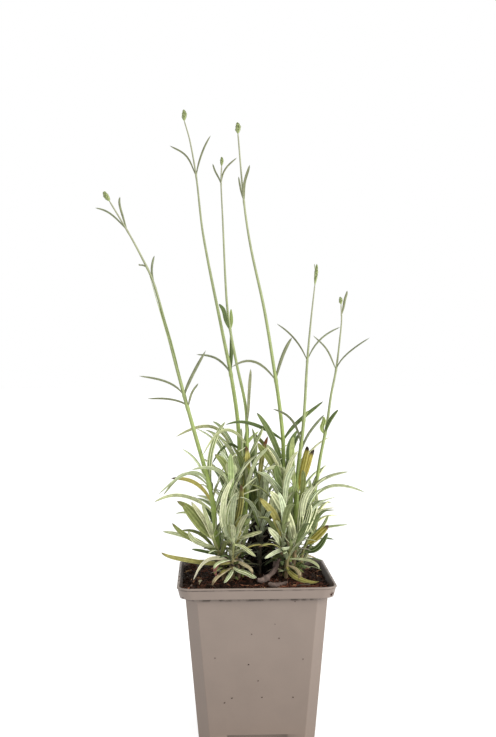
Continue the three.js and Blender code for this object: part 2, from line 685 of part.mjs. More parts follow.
// A three-sided leaf blade: ridged above and flat beneath, as its edges roll under. turn tips its face.
function bladeRings(blade) {
  const flat = blade.tip.clone().sub(blade.root).setZ(0);
  const across = flat.length() > LEAST_FLAT ? flat.normalize() : new THREE.Vector3(1, 0, 0);
  const level = new THREE.Vector3(-across.y, across.x, 0);
  const rings = bladeStations(blade).map(([share, wide]) => {
    const centre = bladePoint(blade, share);
    const along = bladePoint(blade, share + ALONG_STEP).sub(bladePoint(blade, share - ALONG_STEP)).normalize();
    const side = level.clone().applyAxisAngle(along, radians(blade.turn));
    const up = along.clone().cross(side).normalize();
    const half = 0.5 * blade.width * wide;
    return [
      centre.clone().addScaledVector(side, half).addScaledVector(up, -RIDGE / 2),
      centre.clone().addScaledVector(side, -half).addScaledVector(up, -RIDGE / 2),
      centre.clone().addScaledVector(up, RIDGE / 2),
    ];
  });
  rings.push([blade.tip]);
  return rings;
}

// The blade as a chain of round-ended rods, for keeping clear of its neighbours. A rod's radius is half
// of the blade's mean width between its stations.
function bladeRods(blade) {
  const stations = bladeStations(blade).concat([[1, TIP_WIDE]]);
  const points = stations.map(([share]) => bladePoint(blade, share));
  return points.slice(1).map((end, i) => ({
    start: points[i],
    end,
    radius: 0.5 * BLADE_ROUND * blade.width * mix(stations[i][1], stations[i + 1][1], 0.5),
  }));
}

function stemRods(stem, knots) {
  const rings = stemRings(stem, knots);
  const centres = rings.map((ring) => ring[0].clone().add(ring[2]).multiplyScalar(0.5));
  return centres.slice(1).map((end, i) => ({
    start: centres[i],
    end,
    radius: mix(stem.thick[0], stem.thick[1], i / (centres.length - 1)),
  }));
}

// Distance between the centre lines of two straight rods.
function rodDistance(p, q) {
  const u = p.end.clone().sub(p.start);
  const v = q.end.clone().sub(q.start);
  const w = p.start.clone().sub(q.start);
  const a = u.dot(u);
  const b = u.dot(v);
  const c = v.dot(v);
  const d = u.dot(w);
  const e = v.dot(w);
  const s = clamp((b * e - c * d) / Math.max(a * c - b * b, 1e-9), 0, 1);
  const t = clamp((b * s + e) / c, 0, 1);
  const s2 = clamp((b * t - d) / a, 0, 1);
  return w.addScaledVector(u, s2).addScaledVector(v, -t).length();
}

// True where a blade stays clear of the other stems' pieces, the compost and the pot.
function isClear(rods, owner, placed) {
  for (const rod of rods) {
    for (const point of [rod.start.clone().lerp(rod.end, 0.5), rod.end]) {
      const edge = Math.max(Math.abs(point.x), Math.abs(point.y));
      if (point.z < soilHeight(point.x, point.y) + SOIL_CLEAR) return false;
      if (edge > RIM_HALF - RIM_REACH && point.z < POT_HEIGHT + RIM_CLEAR) return false;
    }
    for (const other of placed) {
      if (other.owner === owner) continue;
      if (rodDistance(rod, other) < rod.radius + other.radius + BLADE_CLEAR) return false;
    }
  }
  return true;
}

// Where a blade at a height is rooted: on the stem's centre line, just below its end at the highest.
function rootPoint(knots, height) {
  return stemPoint(knots, Math.min(height, knots[knots.length - 1].z - ROOT_BELOW_END));
}

// A blade with an outline of its own. swing moves its tip nearer or further along the line of sight.
function heroBlade(knots, leaf, swing) {
  const [height, overX, overZ, tipX, tipZ, depth, width, turn] = leaf;
  const near = stemPoint(knots, height);
  const root = rootPoint(knots, seen(0, height, near.y).z);
  const reach = depth + swing;
  const over = seen(overX, overZ, root.y + OVER_DEPTH * reach);
  return { root, over, tip: seen(tipX, tipZ, root.y + reach), width, turn };
}

// A blade that springs from the stem at a height, leaning out in the direction of azimuth.
function whorlBlade(knots, height, azimuth, lean, length, width, turn) {
  const root = rootPoint(knots, height);
  const out = new THREE.Vector3(Math.cos(azimuth), Math.sin(azimuth), 0);
  const tip = root.clone().addScaledVector(out, length * Math.sin(lean));
  tip.z += length * Math.cos(lean);
  const over = root.clone().lerp(tip, 0.5);
  over.z += length * LIFT_SHARE * Math.sin(lean);
  over.addScaledVector(out, -length * HOLLOW_SHARE * Math.cos(lean));
  return { root, over, tip, width, turn };
}

// Every stem's blades: first those with a place of their own, then pairs up the stem, each pair
// turned a quarter from the last. A blade that finds no clear place is left out.
function placeBlades() {
  const random = makeRandom(FOLIAGE_SEED);
  const allKnots = STEMS.map(stemKnots);
  const placed = STEMS.flatMap((stem, owner) => stemRods(stem, allKnots[owner])
    .concat(stem.core ? coreRods(stem) : [])
    .map((rod) => ({ ...rod, owner })));
  const blades = STEMS.map(() => []);
  const keep = (owner, choices) => {
    const blade = choices.find((choice) => isClear(bladeRods(choice), owner, placed));
    if (!blade) return;
    for (const rod of bladeRods(blade)) placed.push({ ...rod, owner });
    blades[owner].push(blade);
  };
  STEMS.forEach((stem, owner) => {
    for (const leaf of stem.leaves) {
      keep(owner, SWINGS.map((swing) => heroBlade(allKnots[owner], leaf, swing * SWING_STEP)));
    }
  });
  STEMS.forEach((stem, owner) => {
    for (const [low, high, pairs, length, width, lean] of stem.whorls) {
      const first = random() * Math.PI;
      for (let pair = 0; pair < pairs; pair += 1) {
        const share = pairs > 1 ? pair / (pairs - 1) : 0.5;
        for (let side = 0; side < 2; side += 1) {
          const azimuth = first + pair * WHORL_TURN + side * Math.PI + SPREAD.azimuth * (random() - 0.5);
          const height = mix(low, high, share) + SPREAD.height * (random() - 0.5);
          const leaning = lean + mix(LOW_LEAN, HIGH_LEAN, share) + SPREAD.lean * (random() - 0.5);
          const long = length * (SMALLEST + SIZE_RANGE * random());
          const wide = width * (SMALLEST + SIZE_RANGE * random());
          const turn = SPREAD.turn * (random() - 0.5);
          keep(owner, SWINGS.map((swing) => whorlBlade(allKnots[owner], height,
            azimuth + radians(swing * TURN_STEP), radians(leaning), long, wide, turn)));
        }
      }
    }
  });
  return { allKnots, blades };
}

function stemSolid(stem, knots, blades) {
  const parts = [toSolid(loft(stemRings(stem, knots)))];
  if (stem.core) parts.push(coreSolid(stem));
  for (const blade of blades) parts.push(toSolid(loft(bladeRings(blade))));
  return joined(parts);
}

// An unopened spike: rows of scale edges round a spindle, each row turned by one edge from the last.
// forked: 1 gives it a second point beside its tip.
function spikeSolid(stem, knots) {
  const [tipX, tipZ, width, forked] = stem.spike;
  const end = knots[knots.length - 1];
  const tip = seen(tipX, tipZ, end.y);
  const along = tip.clone().sub(end).normalize();
  const foot = end.clone().addScaledVector(along, GAP);
  const length = foot.distanceTo(tip);
  const across = new THREE.Vector3(0, 1, 0).cross(along).normalize();
  const deep = along.clone().cross(across).normalize();
  const ring = (share, half, phase) => Array.from({ length: SPIKE_AROUND }, (_, i) => {
    const angle = 2 * Math.PI * (i / SPIKE_AROUND) + phase;
    const scale = 1 + SPIKE_RELIEF * (i % 2 === 0 ? 1 : -1);
    return foot.clone().addScaledVector(along, share * length)
      .addScaledVector(across, half * scale * Math.cos(angle))
      .addScaledVector(deep, half * scale * Math.sin(angle));
  });
  const rings = [ring(0, 0.5 * stem.thick[1] + SPIKE_NECK, 0)];
  for (let row = 1; row < SPIKE_ROWS; row += 1) {
    const share = row / SPIKE_ROWS;
    const half = 0.5 * width * Math.sin(Math.PI * mix(...SPIKE_WAVE, share)) ** SPIKE_POWER;
    rings.push(ring(share, half, (row % 2) * 2 * Math.PI / SPIKE_AROUND));
  }
  rings.push([tip]);
  const body = toSolid(loft(rings));
  if (!forked) return body;
  const point = {
    root: foot.clone().addScaledVector(along, FORK.root * length),
    over: foot.clone().addScaledVector(along, FORK.over * length).addScaledVector(across, -FORK.overOut),
    tip: foot.clone().addScaledVector(along, length).addScaledVector(across, -FORK.tipOut),
    width: FORK.width,
    turn: 0,
  };
  return body.add(toSolid(loft(bladeRings(point))));
}

// The compost: filled to the pot's inner walls, with a crumbly mounded top and a plain hole for each stem.
function compostSolid() {
  const half = (z) => bodyHalf(z) - WALL - GAP;
  const foot = FLOOR + GAP;
  const shelf = POT_HEIGHT - BAND_HEIGHT + SHELF;
  const filling = notchBoxes(WALL + GAP).reduce((whole, box) => whole.subtract(box), toSolid(loft([
    squareOutline(half(foot), INNER_CHAMFER, 0, foot),
    squareOutline(half(shelf), INNER_CHAMFER, 0, shelf + GAP),
    squareOutline(BAND_FOOT_HALF - WALL - GAP, INNER_CORNER, 1, shelf + GAP),
    squareOutline(BAND_FOOT_HALF - WALL - GAP, INNER_CORNER, 1, POT_HEIGHT + MOUND),
  ])));
  const reach = Math.ceil(RIM_HALF / SOIL_STEP) * SOIL_STEP;
  const count = 2 * reach / SOIL_STEP;
  const grid = new THREE.BoxGeometry(2 * reach, 2 * reach, 1, count, count, 1);
  const place = grid.attributes.position;
  for (let i = 0; i < place.count; i += 1) {
    const top = place.getZ(i) > 0;
    place.setZ(i, top ? soilHeight(place.getX(i), place.getY(i)) : 0);
  }
  let compost = filling.intersect(toSolid(grid));
  for (const stem of STEMS) {
    const radius = (stem.thick[0] + HOLE_SLACK) / Math.cos(Math.PI / HOLE_SIDES);
    const hole = new THREE.CylinderGeometry(radius, radius, POT_HEIGHT, HOLE_SIDES);
    hole.rotateX(Math.PI / 2);
    hole.translate(stem.foot[0], stem.foot[1], HOLE_FLOOR + POT_HEIGHT / 2);
    compost = compost.subtract(toSolid(hole));
  }
  return compost;
}

// The core's rings are widest at three eighths of its height, and waves round them make its knots.
function coreSolid(stem) {
  const rings = [];
  for (let row = 0; row <= CORE.rows; row += 1) {
    const share = row / CORE.rows;
    const swell = Math.sqrt(1 - 0.9 * (1.6 * share - 0.6) ** 2);
    rings.push(Array.from({ length: CORE.around }, (_, i) => {
      const angle = 2 * Math.PI * i / CORE.around;
      const knot = 1 + KNOT_LOBES.three * Math.sin(3 * angle + KNOT_LOBES.threeTurn * row)
        + KNOT_LOBES.five * Math.sin(5 * angle - row);
      return new THREE.Vector3(stem.foot[0] + CORE.wide * swell * knot * Math.cos(angle),
        stem.foot[1] + CORE.deep * swell * knot * Math.sin(angle), mix(CORE.low, CORE.high, share));
    }));
  }
  return toSolid(loft(rings));
}

function coreRods(stem) {
  return CORE.rods.map((offset) => ({
    start: new THREE.Vector3(stem.foot[0] + offset, stem.foot[1], CORE.low + CORE.deep),
    end: new THREE.Vector3(stem.foot[0] + offset, stem.foot[1], CORE.high - CORE.deep),
    radius: 1.1 * CORE.deep,
  }));
}

function twigSolid(twig) {
  const points = twig.points.map(([x, y, above]) => new THREE.Vector3(x, y,
    soilHeight(x, y) + twig.half + TWIG_LIFT + above));
  const curve = new THREE.CatmullRomCurve3(points);
  const section = new THREE.Shape(Array.from({ length: TWIG_SIDES }, (_, i) => {
    const angle = 2 * Math.PI * i / TWIG_SIDES;
    return new THREE.Vector2(twig.half * Math.cos(angle), twig.half * Math.sin(angle));
  }));
  return toSolid(new THREE.ExtrudeGeometry(section,
    { steps: TWIG_STEPS, extrudePath: curve, bevelEnabled: false }));
}

function addPiece(group, name, solid, color, roughness) {
  const material = new THREE.MeshStandardMaterial({ color, roughness, metalness: 0 });
  const mesh = new THREE.Mesh(toGeometry(solid), material);
  mesh.name = name;
  group.add(mesh);
}

const group = new THREE.Group();
const { allKnots, blades } = placeBlades();
addPiece(group, "pot", potSolid(), 0x9c8d82, 0.7);
addPiece(group, "compost", compostSolid(), 0x2c1e16, 1);
STEMS.forEach((stem, i) => {
  addPiece(group, stem.name, stemSolid(stem, allKnots[i], blades[i]), stem.color, 0.8);
  if (!stem.spike) return;
  addPiece(group, stem.name.replace("stalk", "spike"), spikeSolid(stem, allKnots[i]), 0x8f9a4e, 0.8);
});
for (const twig of TWIGS) addPiece(group, twig.name, twigSolid(twig), 0x5d4b45, 0.9);

export default group;
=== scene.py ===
"""Potted lavender: a young lavender with six closed flower spikes, in a 9 cm square nursery pot.

Sizes are in millimetres until a mesh is made. +Z is up, the origin is the middle of the pot's underside, and
the pot's front faces along -Y. Where each stem and leaf stands comes from the stem plans below, by the same
rule that placed them in the frame, so that every finer piece keeps its node's form.
"""

import logging
import math
from collections.abc import Iterable
from dataclasses import dataclass
from enum import Enum

import bpy
import numpy as np
from mathutils import Matrix


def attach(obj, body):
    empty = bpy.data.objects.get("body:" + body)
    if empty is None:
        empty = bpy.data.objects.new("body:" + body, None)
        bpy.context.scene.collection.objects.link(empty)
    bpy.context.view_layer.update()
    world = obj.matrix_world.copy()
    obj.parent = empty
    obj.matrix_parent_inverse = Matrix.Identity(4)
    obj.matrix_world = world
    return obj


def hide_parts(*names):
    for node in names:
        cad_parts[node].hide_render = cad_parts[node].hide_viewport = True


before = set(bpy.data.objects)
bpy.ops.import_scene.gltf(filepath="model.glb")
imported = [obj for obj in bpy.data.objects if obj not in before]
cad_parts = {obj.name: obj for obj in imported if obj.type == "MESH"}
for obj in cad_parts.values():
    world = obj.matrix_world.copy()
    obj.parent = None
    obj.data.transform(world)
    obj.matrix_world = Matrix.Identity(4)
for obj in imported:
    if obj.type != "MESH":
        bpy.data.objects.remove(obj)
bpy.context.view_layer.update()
LOG = logging.getLogger("potted_lavender")
# Metres in a millimetre.
MM = 0.001

Array = np.ndarray
Pair = tuple[float, float]
Triple = tuple[float, float, float]
Color = tuple[float, float, float, float]
Material = bpy.types.Material
Piece = bpy.types.Object
Random = np.random.Generator
UP = np.array([0, 0, 1.0])
EAST = np.array([1.0, 0, 0])


def linear(code: str, alpha: float = 1.0) -> Color:
    """Turns an sRGB hex colour to linear light.

    Args:
        code: Six hex digits.
        alpha: The fourth value.

    Returns:
        Red, green, blue and alpha.
    """
    values = [int(code[i : i + 2], 16) / 255 for i in (0, 2, 4)]
    light = [v / 12.92 if v <= 0.04045 else ((v + 0.055) / 1.055) ** 2.4 for v in values]
    return (*light, alpha)


class Tone(Enum):
    """A leaf's colours: its green bands, its pale margins and midrib, its tip, and where the tip starts."""

    ASH = ("767b53", "c5c9a4", "8b8d80", 0.92)
    GREY = ("60703e", "d0d5ab", "757e5b", 0.94)
    SHEATH = ("8f9c62", "a5b07a", "868e66", 0.95)
    SLATE = ("686d50", "8f9477", "7a7e69", 0.92)
    DARK = ("36451b", "748352", "38411f", 0.92)
    GREEN = ("6d7e3c", "b1bd82", "86974e", 0.95)
    OLIVE = ("4c5821", "858d56", "5b5430", 0.9)
    STRIPED = ("4f6127", "e6ebc2", "727b50", 0.93)
    PALE = ("7f8b55", "e1e5c0", "999c80", 0.9)
    CREAM = ("bbb689", "e2dfc3", "d2cdb5", 0.8)
    STRAW = ("8d8160", "b5aa88", "66563f", 0.8)
    FADED = ("7f7b34", "ada868", "6a602e", 0.9)
    YELLOW = ("857a2e", "a39b52", "2b1f12", 0.78)
    AUTUMN = ("827b26", "bab066", "513e27", 0.84)
    BRONZE = ("4d4a20", "938f52", "553f2b", 0.84)
    ROSE = ("5c332c", "7a4f46", "432622", 0.9)
    RUSSET = ("6d6e30", "aca66e", "74492f", 0.76)
    DEAD = ("33251b", "57432f", "241911", 0.7)
    LITTER = ("8c8474", "b9b2a2", "6e6456", 0.9)
    SCALE = ("919c6c", "9ba577", "8f9a6c", 0.68)

    @property
    def band(self) -> Color:
        """The linear colour between the margins and the midrib."""
        return linear(self.value[0])

    @property
    def margin(self) -> Color:
        """The linear colour of the margins and the midrib."""
        return linear(self.value[1])

    @property
    def tip(self) -> Color:
        """The linear colour of the tip, with the place along the leaf where it starts as alpha."""
        return linear(self.value[2], self.value[3])


ASH, GREY, SHEATH, SLATE, DARK, GREEN, OLIVE, STRIPED, PALE, CREAM = list(Tone)[:10]
STRAW, FADED, YELLOW, AUTUMN, BRONZE, ROSE, RUSSET, DEAD, LITTER, SCALE = list(Tone)[10:]
Leaf = tuple[float, float, float, float, float, float, float, float, Tone]


@dataclass(frozen=True)
class SpikePlan:
    """A spike's tip in the outline plane, its width, and whether it has a second point."""

    tip_x: float
    tip_z: float
    width: float
    forked: bool = False


@dataclass(frozen=True)
class StemPlan:
    """One leafy stem.

    thick is the half width at the foot and at the top. path holds (x, z, y): x and z in the outline plane,
    and the true depth y. whorls holds (lowest height, highest height, pairs, length, width, lean in degrees).
    sheaths holds (lowest height, highest height, width) of leaf pairs that clasp the stem.
    """

    name: str
    foot: Pair
    thick: Pair
    path: tuple[Triple, ...]
    whorls: tuple[tuple[float, ...], ...]
    spike: SpikePlan | None = None
    sheaths: tuple[Triple, ...] = ()
    core: bool = False

    @property
    def flowering(self) -> bool:
        """Whether the stem carries a spike."""
        return self.spike is not None


STEMS: tuple[StemPlan, ...] = (
    StemPlan(
        "stalk_a", (-14, 0), (1.4, 0.5),
        (
            (-21.5, 107, -2), (-25, 136, -5), (-35.3, 175, -9), (-40.8, 195, -11), (-50.9, 234, -14),
            (-58.9, 263, -16), (-66.4, 279, -17), (-73.4, 292, -18), (-84.2, 310.2, -20),
        ),
        ((92, 102, 2, 16, 2.4, 62), (104, 132, 4, 34, 3.2, 40)),
        SpikePlan(-87.4, 315.9, 3.2),
        ((194, 268, 1.5),),
    ),
    StemPlan(
        "stalk_b", (-10.5, 4), (1.4, 0.45),
        (
            (-9.5, 106, 5), (-7, 133, 7), (-8.1, 157, 8), (-9.4, 181, 9), (-13.3, 208, 10), (-18.4, 234, 11),
            (-29.2, 290.4, 13), (-33.1, 324.3, 14), (-36.7, 345.4, 15), (-40, 357.4, 16),
        ),
        ((104, 138, 4, 36, 3.2, 36),),
        SpikePlan(-40.2, 364, 3.1),
    ),
    StemPlan(
        "stalk_c", (-7, 0), (1.1, 0.45),
        (
            (-6, 110, -1), (-3.6, 145, 0), (-3.9, 169, 1), (-4.6, 188.5, 2), (-9.6, 213, 3), (-13.5, 234, 4),
            (-15.6, 252.5, 4), (-17.7, 301, 6), (-18.5, 321, 6), (-18.1, 331, 6),
        ),
        ((104, 136, 4, 32, 3, 36),),
        SpikePlan(-18.1, 336.2, 2.2),
    ),
    StemPlan(
        "stalk_d", (18, 4.5), (1.3, 0.5),
        (
            (20.3, 106, 4), (18.6, 127, 3), (17.8, 151, 2), (17.5, 168.7, 1), (15.8, 186.5, 0),
            (13.4, 204.2, -1), (6.8, 245.6, -3), (-1.2, 283.2, -5), (-5, 309.3, -6), (-8.4, 350, -7),
        ),
        ((92, 102, 2, 16, 2.4, 62), (104, 138, 4, 35, 3.2, 36)),
        SpikePlan(-8.6, 356.6, 3.3),
    ),
    StemPlan(
        "stalk_e", (20.5, 0.5), (1.4, 0.45),
        (
            (22, 106, 1), (25, 127, 2), (26.3, 150.8, 3), (29.7, 178.4, 5), (32.1, 215.5, 7),
            (34.4, 239.8, 8), (36.8, 260.8, 9),
        ),
        ((104, 130, 4, 34, 3.4, 38),),
        SpikePlan(38, 273, 2.3, True),
    ),
    StemPlan(
        "stalk_f", (24, 2.5), (1.2, 0.45),
        (
            (26, 107, 4), (31.5, 124, 6), (36.4, 138.8, 7), (39.6, 158, 8), (43.7, 178.3, 9),
            (46.2, 195.3, 9), (49.2, 210.1, 10), (51.6, 229, 11), (52.6, 240, 12), (52.3, 249.2, 12),
        ),
        ((92, 102, 2, 16, 2.4, 62), (104, 126, 3, 30, 3.2, 42)),
        SpikePlan(51.8, 253.6, 2.4),
    ),
    StemPlan(
        "shoot_left", (-18, -4), (1.1, 0.8),
        ((-19.5, 97, -6), (-22.5, 106, -9), (-25.5, 114, -11)),
        ((90, 98, 2, 16, 2.4, 70), (99, 113, 2, 30, 3.4, 48)),
    ),
    StemPlan(
        "shoot_front_left", (-13, -9), (1.1, 0.8),
        ((-13, 96, -12), (-12.5, 104, -14), (-11.5, 111, -15)),
        ((91, 98, 2, 14, 2.2, 76), (100, 109, 2, 24, 2.8, 54)),
    ),
    StemPlan(
        "shoot_mid_left", (-9.5, -4.5), (1.2, 0.7),
        ((-10.5, 98, -5.5), (-13.5, 115, -8), (-13.5, 132, -9), (-12, 148, -9)),
        ((92, 104, 2, 16, 2.4, 62), (106, 132, 4, 34, 3.4, 36)),
    ),
    StemPlan(
        "shoot_back_left", (-13, 9), (1.2, 0.7),
        ((-13, 108, 13), (-12, 132, 16), (-10.5, 153, 18)),
        ((92, 102, 2, 18, 2.6, 66), (104, 142, 6, 38, 3.6, 42)),
    ),
    StemPlan(
        "shoot_back", (4, 19), (1.2, 0.7),
        ((4, 104, 21), (3, 122, 24), (1, 138, 27)),
        ((92, 100, 2, 18, 2.6, 66), (102, 134, 5, 38, 3.6, 44)),
    ),
    StemPlan(
        "shoot_middle", (3, 1), (1.2, 0.7),
        ((3.5, 104, 0.5), (4, 120, 0), (3, 143, 0)),
        ((96, 106, 2, 15, 2.4, 60), (108, 132, 4, 30, 3, 36)),
    ),
    StemPlan(
        "shoot_right_inner", (15.5, -1.5), (1.2, 0.7),
        ((16.5, 104, -4), (17.5, 120, -6), (17.5, 146, -7)),
        ((92, 102, 2, 15, 2.4, 62), (104, 134, 5, 34, 3.4, 38)),
    ),
    StemPlan(
        "shoot_right_fan", (23, -3), (1.1, 0.7),
        ((24.5, 103, -5), (28, 116, -7), (31, 134, -8)),
        ((91, 100, 2, 15, 2.4, 66), (102, 124, 4, 32, 3.4, 40)),
    ),
    StemPlan(
        "shoot_right_low", (27.5, 0.5), (1.1, 0.8),
        ((28, 98, 0), (31, 107, -1), (35, 114, -2)),
        ((90, 97, 1, 15, 2.4, 70), (99, 112, 2, 24, 3.2, 54)),
    ),
    StemPlan(
        "shoot_front_right", (18.5, -5.5), (1.1, 0.8),
        ((19.5, 96, -7), (21.5, 103, -8), (22, 110, -9)),
        ((91, 98, 2, 14, 2.2, 74), (100, 109, 2, 24, 2.8, 54)),
    ),
    StemPlan(
        "shoot_back_right", (21, 9.5), (1.2, 0.7),
        ((22, 106, 13), (24, 126, 17), (25, 143, 20)),
        ((92, 102, 2, 18, 2.6, 66), (104, 136, 5, 38, 3.6, 42)),
    ),
    StemPlan(
        "woody_heart", (4, 10.5), (1.8, 1),
        ((4, 100, 10.5), (4.5, 117, 10.5)),
        ((91, 116, 8, 17, 2.2, 66),),
        core=True,
    ),
)

